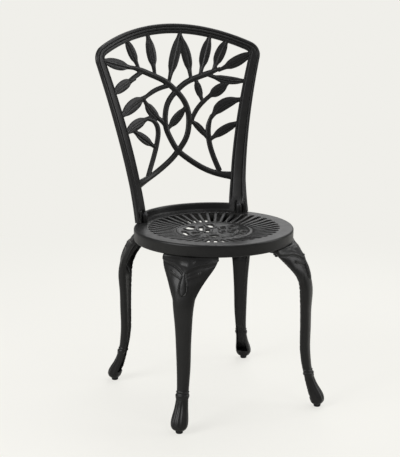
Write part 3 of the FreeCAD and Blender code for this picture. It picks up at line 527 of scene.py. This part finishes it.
def kept(thing, material, slot_name, *nodes):
    """Coats a finished piece, hangs it on the chair and lets it stand for its CAD nodes."""
    thing.data.materials.clear()
    thing.data.materials.append(material)
    pick(thing)
    bpy.ops.object.shade_smooth_by_angle(angle=SMOOTH_ANGLE)
    bpy.ops.object.select_all(action="DESELECT")
    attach(thing, "root")
    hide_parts(*nodes)


# The back's surface, bowed about the sitter, leaning back and fanning out as it rises


def arch_height(across):
    """The level of the rail's middle line, an arc, at a place across the back."""
    centre = SEAT_LEVEL + BACK_HEIGHT - RAIL_WIDTH / 2 - ARCH_RADIUS
    return centre + math.sqrt(ARCH_RADIUS ** 2 - across ** 2)


def climb(height):
    """A level on the stiles as a share of the way up to their corners with the rail."""
    return (height - SEAT_LEVEL) / (arch_height(BACK_TOP_HALF) - SEAT_LEVEL)


def half_span(height):
    """Half the distance between the stiles' middle lines."""
    foot = BACK_FOOT_RADIUS * math.sin(STILE_ANGLE)
    return foot + (BACK_TOP_HALF - foot) * max(climb(height), 0) ** STILE_CURVE


def on_back(across, height):
    """The point of the back's middle surface at a place in the front view."""
    share, rise = (height - SEAT_LEVEL) / BACK_HEIGHT, climb(height)
    foot_bow = BACK_FOOT_RADIUS * (1 - math.cos(STILE_ANGLE))
    bow = foot_bow + (BACK_TOP_BOW - foot_bow) * rise - 4 * BACK_FLATTEN * rise * (1 - rise)
    radius = (half_span(height) ** 2 + bow ** 2) / (2 * bow)
    middle = BACK_FOOT_RADIUS + BACK_LEAN * share + BACK_SWEEP * share ** 2
    return Vector((across, middle - radius + math.sqrt(radius ** 2 - across ** 2), height))


def back_normal(across, height):
    """The direction square to the back, towards the sitter."""
    step = 0.0005
    sideways = on_back(across + step, height) - on_back(across - step, height)
    upwards = on_back(across, height + step) - on_back(across, height - step)
    return sideways.cross(upwards).normalized()


def drawn(across_share, up_share):
    """The front view's across and height for a pair of shares, as the vine is drawn in."""
    height = SEAT_LEVEL + up_share * BACK_HEIGHT
    return across_share * half_span(height), height


def lined_up(places):
    """For each place along a line on the back: point, direction across the line and outwards."""
    points = [on_back(*place) for place in places]
    frames = []
    for i, place in enumerate(places):
        along = (points[min(i + 1, len(points) - 1)] - points[max(i - 1, 0)]).normalized()
        normal = back_normal(*place)
        frames.append((points[i], along.cross(normal).normalized(), normal))
    return frames


# The back's frame


def corner_turn(count):
    """The rounded turn from the right stile into the arched rail."""
    step = 0.03
    corner = Vector((BACK_TOP_HALF, arch_height(BACK_TOP_HALF)))
    lower = Vector((half_span(corner.y - step), corner.y - step))
    inner = Vector((BACK_TOP_HALF - step, arch_height(BACK_TOP_HALF - step)))
    down, inward = (lower - corner).normalized(), (inner - corner).normalized()
    half_turn = down.angle(inward) / 2
    bisector = (down + inward).normalized()
    centre = corner + bisector * (CORNER_RADIUS / math.sin(half_turn))
    reach = CORNER_RADIUS / math.tan(half_turn)
    first, last = corner + down * reach - centre, corner + inward * reach - centre
    turn = first.angle_signed(last)
    return [centre + Matrix.Rotation(-turn * i / (count - 1), 2) @ first for i in range(count)]


def frame_places():
    """The stiles and the rail as one line: across, height, width and how far it is rail."""
    turn = corner_turn(13)
    corner_level, corner_across = turn[0].y, turn[-1].x
    waist = SEAT_LEVEL + WAIST * BACK_HEIGHT
    right = []
    for height in np.linspace(SEAT_LEVEL - 0.003, corner_level, 74):
        width = np.interp(height, (SEAT_LEVEL + 0.007, waist, corner_level), STILE_WIDTHS)
        right.append((half_span(height), height, width, 0))
    for i, point in enumerate(turn[1:], 1):
        share = i / (len(turn) - 1)
        right.append((point.x, point.y, STILE_WIDTHS[2] + share * (RAIL_WIDTH - STILE_WIDTHS[2]), share))
    for across in np.linspace(corner_across, 0, 46)[1:-1]:
        right.append((across, arch_height(across), RAIL_WIDTH, 1))
    left = [(-across, height, width, rail) for across, height, width, rail in right]
    return left + [(0, arch_height(0), RAIL_WIDTH, 1)] + right[::-1]


def moulding_lines(rail):
    """Where the two grooves run across the width, as shares of it, on a stile (0) or the rail (1)."""
    return -0.29 + 0.12 * rail, 0.33 - 0.2 * rail


def rounded_off(side, half, edge):
    """How far a flat strip's face sinks at a place across it where its edges are rounded."""
    over = max(0, abs(side) - (half - edge))
    return edge - math.sqrt(max(edge ** 2 - over ** 2, 0))


def moulding(side, width, thickness, rail, strength):
    """Depth of the frame's front at a place across it, from the outer edge to the inner one."""
    depth = thickness / 2 - rounded_off(side, width / 2, 0.003)
    outer, inner = (share * width for share in moulding_lines(rail))
    groove = sizes().groove * strength
    for middle in (outer, inner):
        depth -= groove * hump(side - middle, 0.0011)
    depth -= groove * 0.5 * strength * rail * hump(side - LEDGE * width, 0.0022)
    if inner > side > outer:
        reach = (inner - outer) / 2
        depth += 0.0004 * strength * (1 - ((side - (outer + inner) / 2) / reach) ** 2)
    return depth


def frame_ring(point, across, normal, width, rail, corner):
    """The frame's outline round one point of its line: a moulded front and a plain, bevelled back."""
    thickness = np.interp(climb(point.z), (0, 1), BACK_THICKNESSES)
    half = width / 2
    strength = float(eased(point.z, SEAT_LEVEL + 0.03, SEAT_LEVEL + 0.036))
    ring = []
    marks = [half * share for share in np.linspace(-1, 1, 19)]
    for share in moulding_lines(rail):
        marks += [width * share + step * 0.0006 for step in range(-3, 4)]
    marks += [LEDGE * width + step for step in (-0.0016, 0, 0.0012)]
    for side in sorted(min(max(mark, -half), half) for mark in marks):
        deep = moulding(side, width, thickness, rail, strength)
        deep -= 0.0009 * corner * (1 - abs(side / half) ** 6)
        ring.append(point + across * side + normal * deep)
    for side in np.linspace(half, -half, 15):
        ring.append(point + across * side - normal * (thickness / 2 - rounded_off(side, half, 0.0036)))
    return ring


def back_frame():
    """The hoop of stiles and rail, and the low wall between the stiles."""
    places = frame_places()
    frames = lined_up([place[:2] for place in places])
    top = corner_turn(2)[0].y
    rings = []
    for (point, across, normal), (_, height, width, rail) in zip(frames, places):
        corner = hump(height - top + 0.004, 0.0016) if rail == 0 else 0
        rings.append(frame_ring(point, across, normal, width, rail, corner))
    hoop = skin("back_frame", rings)
    return hoop, spun("back_apron", WALL_OUTLINE, 72, math.pi / 2 + STILE_ANGLE, 2 * STILE_ANGLE)


def bolt_housings():
    """A bolt's boss at the foot of each stile, between two slender ribs."""
    parts = []
    for side in (-1, 1):
        place, top = Vector((side * BACK_BOLT[0], BACK_BOLT[1])), BACK_BOLT[2]
        outward = place.normalized()
        along = Vector((-outward.y, outward.x))
        columns = [(place, 0.0078, top)]
        for way in (-1, 1):
            columns.append((place + outward * 0.006 + along * (way * 0.0134), 0.0024, top + 0.012))
        for middle, radius, level in columns:
            parts.append(cylinder(radius, BACK_FOOT, level, middle, bevel=min(0.0016, radius * 0.45)))
    return joined("bolt_housings", parts)


# The vine


def stem(points, width, thickness, root=0):
    """A stem along a drawn line, drawn in at its end; a main stem spreads out at its root on the stile."""
    count, sides = 6 * len(points), 18
    line = smooth_line([drawn(*point) for point in points], count)
    angles = [math.tau * step / sides for step in range(sides)]
    rings = []
    for i, (point, across, normal) in enumerate(lined_up([tuple(place) for place in line])):
        flare = max(0, 1 - i / 12) ** 2 if root else 0
        drawn_in = max(0, 1 - (count - 1 - i) / 7)
        reach = (width + flare * (root - width) - drawn_in * (width - LEAF_NECK)) / 2
        deep = (thickness - drawn_in * (thickness - 0.0084)) / 2
        rings.append([point + across * (reach * math.cos(angle)) + normal * (deep * math.sin(angle))
                      for angle in angles])
    return skin("stem", rings)


def leaf_line(leaf):
    """Where a leaf starts and how it runs in the front view, and its bend."""
    root, tip, _, bend = leaf
    start, end = Vector(drawn(*root)), Vector(drawn(*tip))
    return start, end - start, bend


def leaf_widths(shares, width):
    """How wide a leaf is at each share of its length."""
    profile = np.array(smooth_line(LEAF_SHAPE, 60))
    fullness = np.clip(np.interp(shares, profile[:, 0], profile[:, 1]), 0, 1)
    return LEAF_NECK + fullness * (width + 0.001 - LEAF_NECK)


def leaf_mesh(leaf):
    """One leaf along its bent line, lying on the back's surface."""
    start, run, bend = leaf_line(leaf)
    shares = np.linspace(0, 1, 21)
    places = []
    for share in shares:
        swing = bend * math.sin(math.pi * share)
        places.append((start.x + share * run.x - swing * run.y, start.y + share * run.y + swing * run.x))
    rings = []
    for (point, across, normal), width in zip(lined_up(places), leaf_widths(shares, leaf[2])):
        rings.append([point + across * (side * width) + normal * deep for side, deep in LEAF_SECTION])
    return skin("leaf", rings)


def leaf_veins(places, normals):
    """How far each point of the vine rises or sinks for the ribs and veins of the leaves."""
    front = np.where(normals[:, 1] < 0, 1, 0.5) * eased(np.abs(normals[:, 1]), 0.25, 0.6)
    rise = np.zeros(len(places))
    tall = sizes().leaf_rib
    for leaf in LEAVES:
        start, run, bend = leaf_line(leaf)
        length = run.length
        across, up = places[:, 0] - start.x, places[:, 2] - start.y
        share = (across * run.x + up * run.y) / length ** 2
        off = (up * run.x - across * run.y) / length - bend * np.sin(np.pi * np.clip(share, 0, 1)) * length
        half = leaf_widths(np.clip(share, 0, 1), leaf[2]) / 2
        inside = eased(share, 0.06, 0.16) * (1 - eased(share, 0.88, 0.96))
        inside *= eased(half - np.abs(off), -0.001, 0.001)
        blade = eased(half, 0.0055, 0.0085)
        rib = tall * hump(off, 0.0013) - 0.95 * tall * hump(np.abs(off) - 0.0032, 0.0016) * blade
        veins = np.cos(math.tau * (share * length - 0.9 * np.abs(off)) / 0.0085)
        rib += 0.00004 * veins * blade * eased(np.abs(off), 0.0025, 0.005)
        rise += inside * rib
    return rise * front


def vine():
    """The stems and leaves in one skin, with the leaves' ribs and veins raised on it."""
    parts = [stem(line, MAIN_WIDTH, thickness, ROOT_WIDTH)
             for line, thickness in zip(MAIN_STEMS, MAIN_THICKNESSES)]
    parts += [stem(line, width, thickness) for (width, thickness), line in BRANCHES]
    parts += [leaf_mesh(leaf) for leaf in LEAVES]
    whole = cast_smooth(joined("vine", parts), VINE_GRAIN, 5)
    places, normals = points_of(whole)
    move_points(whole, places + normals * leaf_veins(places, normals)[:, None])
    return thinned(whole)


# The seat


def pan_level(radius):
    """The level of the dished pan's top."""
    return SEAT_LEVEL - PAN_DEPTH * (1 - (radius / PAN_RADIUS) ** 2)


def leg_stud_places():
    """The middle lines of the two studs of each leg."""
    for degrees in LEG_TURNS.values():
        for side in (-1, 1):
            yield polar(BOSS_RADIUS, math.radians(degrees + side * BOSS_SPREAD))


def seat_rim():
    """The flat rim with its rounded edge and its skirt, and the studs' blind bosses under it."""
    outline = [(0.1661, pan_level(0.1661) - 0.003), (0.1661, pan_level(0.1661) + 0.0001),
               (0.1672, pan_level(0.1672) + 0.0003), (0.1684, 0.4408), (0.17, SEAT_LEVEL),
               (0.1945, SEAT_LEVEL)]
    outline += [(0.1955 + 0.0045 * math.sin(a), 0.4365 + 0.0045 * math.cos(a))
                for a in np.linspace(0.15, math.pi / 2, 7)]
    outline += [(SEAT_RADIUS, 0.4345), (SEAT_RADIUS, 0.4285), (0.1997, 0.4205), (0.1998, 0.4155),
                (0.1999, 0.4135)]
    outline += [(0.1978 + 0.0021 * math.cos(a), 0.4131 - 0.0021 * math.sin(a)) for a in (0.5, 1, 1.57)]
    outline += [(0.196, SKIRT_FOOT), (0.1951, 0.4118), (SKIRT_INSIDE, 0.413), (SKIRT_INSIDE, 0.4305),
                (0.1941, 0.433), (0.192, RIM_UNDERSIDE), (0.1675, RIM_UNDERSIDE)]
    parts = [spun("rim", outline, 176, 0, math.tau)]
    parts += [cylinder(0.011, SKIRT_FOOT, BOSS_TOP, place, bevel=0.001) for place in leg_stud_places()]
    return joined("seat_rim", parts)


def seat_pan():
    """The dished pan, cut out of the CAD seat's copy and softened, with its ribs crowned."""
    pan = copied("seat_pan", "seat")
    cutter = cylinder(0.1692, 0.4107, 0.4407, vertices=160)
    modified(pan, "BOOLEAN", operation="INTERSECT", object=cutter, solver="EXACT")
    bpy.data.objects.remove(cutter)
    cast_smooth(pan, PAN_GRAIN, 4)
    places, normals = points_of(pan)
    radius = np.hypot(places[:, 0], places[:, 1])
    pitch = math.tau / SLOTS
    turn = np.arctan2(places[:, 1], places[:, 0]) / pitch - 0.5
    beside = np.abs(turn - np.round(turn)) * pitch * radius
    slot = np.interp(radius, SLOT_ENDS, SLOT_WIDTHS)
    half_rib = radius * math.tau / SLOTS / 2 - slot / 2
    crown = sizes().rib_crown * np.clip(1 - (beside / half_rib) ** 2, 0, 1)
    crown *= eased(radius, 0.096, 0.104) * (1 - eased(radius, 0.158, 0.166)) * eased(normals[:, 2], 0.2, 0.6)

    # Round the medallion's strands by how far each point lies from the nearest opening.
    walls = places[(np.abs(normals[:, 2]) < 0.5) & (radius < MEDALLION_EDGE)]
    openings = KDTree(len(walls))
    for index, wall in enumerate(walls):
        openings.insert(wall, index)
    openings.balance()
    for index in np.flatnonzero((radius < 0.092) & (np.abs(normals[:, 2]) > 0.3)):
        gap = openings.find(places[index])[2]
        ring = 1 - eased(radius[index], 0.078, 0.084)
        if normals[index, 2] > 0:
            round_edge = math.sqrt(1 - (1 - min(gap / 0.0042, 1)) ** 2) - 0.4
            dip = 0.0024 * eased(gap, 0.0045, 0.008)
            crown[index] += ring * (sizes().rib_crown * round_edge + 0.0008 - dip)
        else:
            crown[index] -= ring * 0.002 * min(gap / 0.002, 1)

    # Thicken the strands sideways, and thin the ribs between the slots.
    upright = 1 - eased(np.abs(normals[:, 2]), 0.5, 0.9)
    strand = 0.0018 * (1 - eased(radius, 0.083, 0.087)) * (radius > 0.013)
    rib = np.interp(radius, (0.1, 0.166), (0.0007, 0.0004)) * (radius > 0.0955) * (radius < 0.1672)
    places[:, :2] += normals[:, :2] * (upright * (strand - rib))[:, None]
    places[:, 2] += crown
    move_points(pan, places)
    return thinned(pan)


# The legs, drawn once standing out along +X and turned to the four corners


def knee_ornament(across, height):
    """Rise of the hanging leaf, the two beads each side of it, the shield above and the hollows below."""
    beside = np.abs(across)
    bead, tongue = sizes().bead, sizes().tongue
    line = np.array(KNEE_EDGE)
    above = height - np.interp(beside, line[:, 0], line[:, 1])
    edge = distance_to(KNEE_EDGE, beside, height)
    curl = distance_to(KNEE_CURL, beside, height)
    knob = np.hypot(beside - KNEE_CURL[-1][0], height - KNEE_CURL[-1][1])
    share = np.clip((TONGUE_TOP - height) / TONGUE_LENGTH, 0, 1)
    half = TONGUE_HALF * share ** 0.55 * np.sqrt(1 - share ** 5)
    inset = half - beside
    inside = eased(inset, -0.001, 0.0012) * (share > 0) * (share < 1)
    blade = inside * tongue * (0.75 + 0.5 * np.clip(1 - (beside / (half + 1e-4)) ** 2, 0, 1))
    blade -= 0.75 * tongue * hump(inset - 0.0036, 0.001) * eased(share, 0.08, 0.25)
    outside = 1 - eased(inset, -0.002, 0.001)
    trough = eased(beside, 0.002, 0.01) * (1 - eased(beside, 0.036, 0.05)) * outside
    hollow = hump(np.minimum(above + 0.023, 0), 0.014) * hump(np.maximum(above + 0.023, 0), 0.0095) * trough
    shield = SHIELD_RISE * eased(above, -0.0006, 0.0016) * (1 - eased(height, 0.403, 0.409))
    gap = hump(edge - 0.0036, 0.0018) * (above < 0) * outside
    lines = bead * hump(edge, 0.0015) + outside * bead * hump(curl, 0.0018) * eased(beside, 0.005, 0.009)
    knobs = outside * 1.3 * bead * hump(knob, 0.003)
    return blade + shield + lines - bead * gap - HOLLOW_DEPTH * hollow + knobs


def about_leg(places, normals):
    """Each point's way out and across from the leg's middle, the depth there and how far it faces away."""
    line = np.array(LEG_LINE)
    middle, depth = (np.interp(places[:, 2], line[:, 0], line[:, column]) for column in (1, 2))
    out, across = places[:, 0] - middle, places[:, 1]
    facing = (normals[:, 0] * out + normals[:, 1] * across) / (np.hypot(out, across) + 1e-9)
    return out, across, depth, facing


def leg_finish(places, normals):
    """How far each point of the leg's outside rises or sinks for its ornament."""
    out, across, depth, facing = about_leg(places, normals)
    height = places[:, 2]
    outside = eased(facing, 0.2, 0.6) * eased(out, -0.45 * depth, -0.2 * depth)
    front = eased(normals[:, 0], 0.12, 0.4)
    rise = front * knee_ornament(across, height) * eased(height, 0.318, 0.326)
    flutes = 0.5 + 0.5 * np.cos(np.arctan2(across, out) * FLUTES + math.pi)
    fade = eased(height, 0.017, 0.026) * (1 - eased(height, 0.064, 0.077))
    rise -= outside * fade * sizes().flute * flutes
    upper, lower = COLLAR_RINGS
    rings = 0.0016 * hump(height - upper, 0.0011) + 0.0009 * hump(height - lower, 0.001)
    collar = 0.0006 * eased(height, 0.079, 0.0805) * (1 - eased(height, 0.0925, upper))
    return rise + outside * (rings + collar)


def shallow_back(places, normals):
    """Fills most of the channel behind the shaft, and somewhat less of it behind the foot."""
    out, _, depth, facing = about_leg(places, normals)
    height = places[:, 2]
    filled = eased(height, 0.022, 0.034) * 0.6 + eased(height, 0.09, 0.11) * 0.4
    inside = (1 - eased(facing, -0.3, 0.1)) * (filled * (1 - eased(height, 0.29, 0.33)))
    places[:, 0] -= CHANNEL_FILL * inside * np.maximum(out + depth / 2, 0)
    return places


def legs():
    """The four legs, each with its CAD node's name: one is finished, turned upright, and copied."""
    first = copied("leg", "leg_front_right")
    first.data.transform(Matrix.Rotation(math.radians(-LEG_TURNS["front_right"]), 4, "Z"))
    cast_smooth(first, LEG_GRAIN, 4)
    move_points(first, shallow_back(*points_of(first)))
    places, normals = points_of(first)
    move_points(first, places + normals * leg_finish(places, normals)[:, None])
    made = []
    for name, degrees in LEG_TURNS.items():
        mesh = first.data.copy()
        mesh.transform(Matrix.Rotation(math.radians(degrees), 4, "Z"))
        made.append((placed("cast_leg_" + name, mesh), "leg_" + name))
    bpy.data.objects.remove(first)
    return made


# Glides and fastenings


def revolved(name, outline, place, level=0, steps=32, six_sided=False):
    """A solid of revolution about an upright line; a nut's outline is held in by its flats."""
    rings = []
    for radius, height in outline:
        ring = []
        for angle in (math.tau * step / steps for step in range(steps)):
            flat = NUT_HALF / math.cos((angle + math.pi / 6) % (math.pi / 3) - math.pi / 6)
            reach = min(radius, flat) if six_sided else radius
            ring.append(polar(reach, angle, level + height) + place)
        rings.append(ring)
    return skin(name, rings)


def foot_glide(name, degrees):
    """A glide under one foot, with its peg in the foot's hole."""
    return revolved("pad_" + name, GLIDE_OUTLINE, polar(FOOT_RADIUS, math.radians(degrees)))


def threaded(low, high, place):
    """A rod with a coarse thread at its foot and a plain shank above it."""
    steps, shank = 20, low + THREAD_LENGTH
    rings = [[polar(CORE_RADIUS, math.tau * j / steps, low) + place for j in range(steps)]]
    levels = list(np.arange(low + 0.0004, shank, THREAD_PITCH / 5))
    for level in levels + [shank + 0.0004, high]:
        ring = []
        for j in range(steps):
            phase = ((level - low) / THREAD_PITCH - j / steps) % 1
            cut = 0.0006 * abs(2 * phase - 1) if level < shank else 0.0001
            reach = min(ROD_RADIUS - cut, CORE_RADIUS + (level - low))
            ring.append(polar(reach, math.tau * j / steps, level) + place)
        rings.append(ring)
    return skin("rod", rings)


def split_ring(place, low):
    """A spring washer: a flat ring with one slanting cut."""
    inner, outer, high, edge, slant = 0.0045, 0.007, low + SPRING, 0.0003, 0.0003
    section = ((inner, low), (inner, high), (outer - edge, high), (outer, high - edge), (outer, low + edge),
               (outer - edge, low))
    rings = []
    for angle in np.linspace(math.radians(6), math.radians(354), 40):
        lift = slant * (angle / math.pi - 1)
        rings.append([polar(radius, angle, min(max(height + lift, low), high)) + place
                      for radius, height in section])
    return skin("spring", rings)


def fastenings():
    """Studs, washers, spring washers and nuts under the seat, and the back's two bolts."""
    studs, flats, springs, nuts = [], [], [], []
    washer = FLANGE_UNDERSIDE - WASHER
    nut = washer - SPRING - NUT
    for place in leg_stud_places():
        studs.append(threaded(nut - OVERHANG, STUD_TOP, place))
        nuts.append(revolved("nut", NUT_OUTLINE, place, nut, 36, True))
        springs.append(split_ring(place, washer - SPRING))
        flats.append(revolved("washer", WASHER_OUTLINE, place, washer))
    bolts, back_flats, back_nuts = [], [], []
    washer = RIM_UNDERSIDE - WASHER
    nut = washer - NUT
    for side in (-1, 1):
        place, top = Vector((side * BACK_BOLT[0], BACK_BOLT[1], 0)), BACK_BOLT[2]
        bolts.append(revolved("cap", CAP_OUTLINE, place, top))
        bolts.append(threaded(nut - OVERHANG, top, place))
        back_nuts.append(revolved("nut", NUT_OUTLINE, place, nut, 36, True))
        back_flats.append(revolved("washer", WASHER_OUTLINE, place, washer))
    groups = (
        ("threaded_studs", studs, "leg_studs"), ("flat_washers", flats, "leg_washers"),
        ("split_washers", springs, "leg_spring_washers"), ("hex_nuts", nuts, "leg_nuts"),
        ("domed_bolts", bolts, "back_bolts"), ("upper_washers", back_flats, "back_washers"),
        ("upper_nuts", back_nuts, "back_nuts"),
    )
    return [(joined(name, parts), node) for name, parts, node in groups]


# The stage


def empty_tree(owner):
    """The emptied node tree of a material or a world."""
    owner.use_nodes = True
    owner.node_tree.nodes.clear()
    return owner.node_tree


def seen_directly(tree):
    """1 for what the camera sees, straight or through clear parts, and 0 for light and reflections."""
    path = added(tree, "LightPath").outputs
    rays = {0: path["Is Camera Ray"], 1: path["Is Transmission Ray"]}
    return added(tree, "Math", "Value", rays, operation="MAXIMUM")


def pale_ground(name):
    """A pale matt ground that shows its own colour to the camera and keeps a soft shadow near the chair."""
    material, colour = bpy.data.materials.new(name), colours().floor
    tree = empty_tree(material)
    place = added(tree, "TexCoord", "Object")
    away = added(tree, "VectorMath", "Value", {0: place}, operation="LENGTH")
    far, bright = (added(tree, "MapRange", "Result",
                         {"Value": away, "From Min": 0.45, "From Max": 1.9, "To Min": near, "To Max": 1},
                         interpolation_type="SMOOTHSTEP") for near in (0.66, 1.17))
    share = added(tree, "Math", "Value", {0: seen_directly(tree), 1: far}, operation="MULTIPLY")
    matt = added(tree, "BsdfDiffuse", "BSDF", {"Color": [0.7 * part for part in colour[:3]] + [1]})
    glow = added(tree, "Emission", "Emission", {"Color": colour, "Strength": bright})
    mix = added(tree, "MixShader", "Shader", {"Fac": share, 1: matt, 2: glow})
    added(tree, "OutputMaterial", inputs={"Surface": mix})
    return material


def studio_world():
    """Even light all round, and the floor's own colour where the camera sees past the floor."""
    bpy.context.scene.world = bpy.data.worlds.new("Studio")
    tree = empty_tree(bpy.context.scene.world)
    light = added(tree, "Background", "Background", {"Color": (1, 0.99, 0.97, 1), "Strength": WORLD_STRENGTH})
    seen = added(tree, "Background", "Background", {"Color": colours().floor})
    mix = added(tree, "MixShader", "Shader", {"Fac": seen_directly(tree), 1: light, 2: seen})
    added(tree, "OutputWorld", inputs={"Surface": mix})


def lamp(name, energy, azimuth, elevation, distance, width, height):
    """A soft box that faces the middle of the chair."""
    data = bpy.data.lights.new(name, "AREA")
    data.shape, data.size, data.size_y, data.energy = "RECTANGLE", width, height, energy
    thing = placed(name, data)
    a, e = math.radians(azimuth), math.radians(elevation)
    away = Vector((math.sin(a) * math.cos(e), -math.cos(a) * math.cos(e), math.sin(e)))
    thing.location = LAMP_AIM + away * distance
    thing.rotation_euler = away.to_track_quat("Z", "Y").to_euler()


def camera():
    """The camera, placed and tilted as for the photo."""
    data = bpy.data.cameras.new("View")
    data.lens, data.sensor_width, data.sensor_fit, data.clip_end = CAMERA_LENS, 36, "AUTO", 200
    thing = placed("View", data)
    thing.location, thing.rotation_euler = CAMERA_PLACE, CAMERA_TURN
    bpy.context.scene.camera = thing


# Operators


class CHAIR_OT_seat(bpy.types.Operator):
    """Model the seat's rim and its slotted pan"""
    bl_idname = "chair.seat"
    bl_label = "Seat"

    def execute(self, context):
        kept(seat_rim(), casting_coat(), "casting", "seat")
        kept(seat_pan(), casting_coat(), "casting", "seat")
        return {"FINISHED"}


class CHAIR_OT_back_frame(bpy.types.Operator):
    """Model the back's stiles and rail, the low wall between them and the bolts' bosses"""
    bl_idname = "chair.back_frame"
    bl_label = "Back frame"

    def execute(self, context):
        for thing in back_frame() + (bolt_housings(),):
            kept(thing, casting_coat(), "casting", "backrest")
        return {"FINISHED"}


class CHAIR_OT_vine(bpy.types.Operator):
    """Model the vine's stems and leaves"""
    bl_idname = "chair.vine"
    bl_label = "Vine"

    def execute(self, context):
        kept(vine(), casting_coat(), "casting", "backrest")
        return {"FINISHED"}


class CHAIR_OT_legs(bpy.types.Operator):
    """Model the four legs"""
    bl_idname = "chair.legs"
    bl_label = "Legs"

    def execute(self, context):
        for thing, node in legs():
            kept(thing, casting_coat(), "casting", node)
        return {"FINISHED"}


class CHAIR_OT_glides(bpy.types.Operator):
    """Model the plastic glides under the feet"""
    bl_idname = "chair.glides"
    bl_label = "Glides"

    def execute(self, context):
        for name, degrees in LEG_TURNS.items():
            kept(foot_glide(name, degrees), glide_plastic(), "glide", "glide_" + name)
        return {"FINISHED"}


class CHAIR_OT_fastenings(bpy.types.Operator):
    """Model the studs, bolts, washers and nuts"""
    bl_idname = "chair.fastenings"
    bl_label = "Fastenings"

    def execute(self, context):
        for thing, node in fastenings():
            kept(thing, steel_coat(), "fastening", node)
        return {"FINISHED"}


class CHAIR_OT_stage(bpy.types.Operator):
    """Set up the floor, the light and the camera"""
    bl_idname = "chair.stage"
    bl_label = "Stage"

    def execute(self, context):
        bpy.ops.object.select_all(action="DESELECT")
        bpy.ops.mesh.primitive_plane_add(size=FLOOR_SIZE, location=(0, 0, 0))
        floor = bpy.context.object
        floor.name = "floor"
        floor.data.materials.append(pale_ground("Pale floor"))
        studio_world()
        for row in LAMPS:
            lamp(*row)
        camera()
        context.scene.view_settings.view_transform = "Standard"
        return {"FINISHED"}


class CHAIR_PT_panel(bpy.types.Panel):
    """Everything the chair is made of, in the order in which it is made"""
    bl_label = "Garden chair"
    bl_idname = "CHAIR_PT_panel"
    bl_space_type = "VIEW_3D"
    bl_region_type = "UI"
    bl_category = "Chair"

    def draw(self, context):
        layout = self.layout
        for group in (context.scene.chair_sizes, context.scene.chair_colours):
            box = layout.box()
            for name in group.__annotations__:
                box.prop(group, name)
        for operator in OPERATORS:
            layout.operator(operator.bl_idname)


OPERATORS = (CHAIR_OT_seat, CHAIR_OT_back_frame, CHAIR_OT_vine, CHAIR_OT_legs, CHAIR_OT_glides,
             CHAIR_OT_fastenings, CHAIR_OT_stage)
CLASSES = (ChairSizes, ChairColours) + OPERATORS + (CHAIR_PT_panel,)


def register():
    for kind in CLASSES:
        bpy.utils.register_class(kind)
    bpy.types.Scene.chair_sizes = PointerProperty(type=ChairSizes)
    bpy.types.Scene.chair_colours = PointerProperty(type=ChairColours)


def unregister():
    del bpy.types.Scene.chair_colours
    del bpy.types.Scene.chair_sizes
    for kind in reversed(CLASSES):
        bpy.utils.unregister_class(kind)


def main():
    register()
    bpy.ops.chair.seat()
    bpy.ops.chair.back_frame()
    bpy.ops.chair.vine()
    bpy.ops.chair.legs()
    bpy.ops.chair.glides()
    bpy.ops.chair.fastenings()
    bpy.ops.chair.stage()


if __name__ == "__main__":
    main()
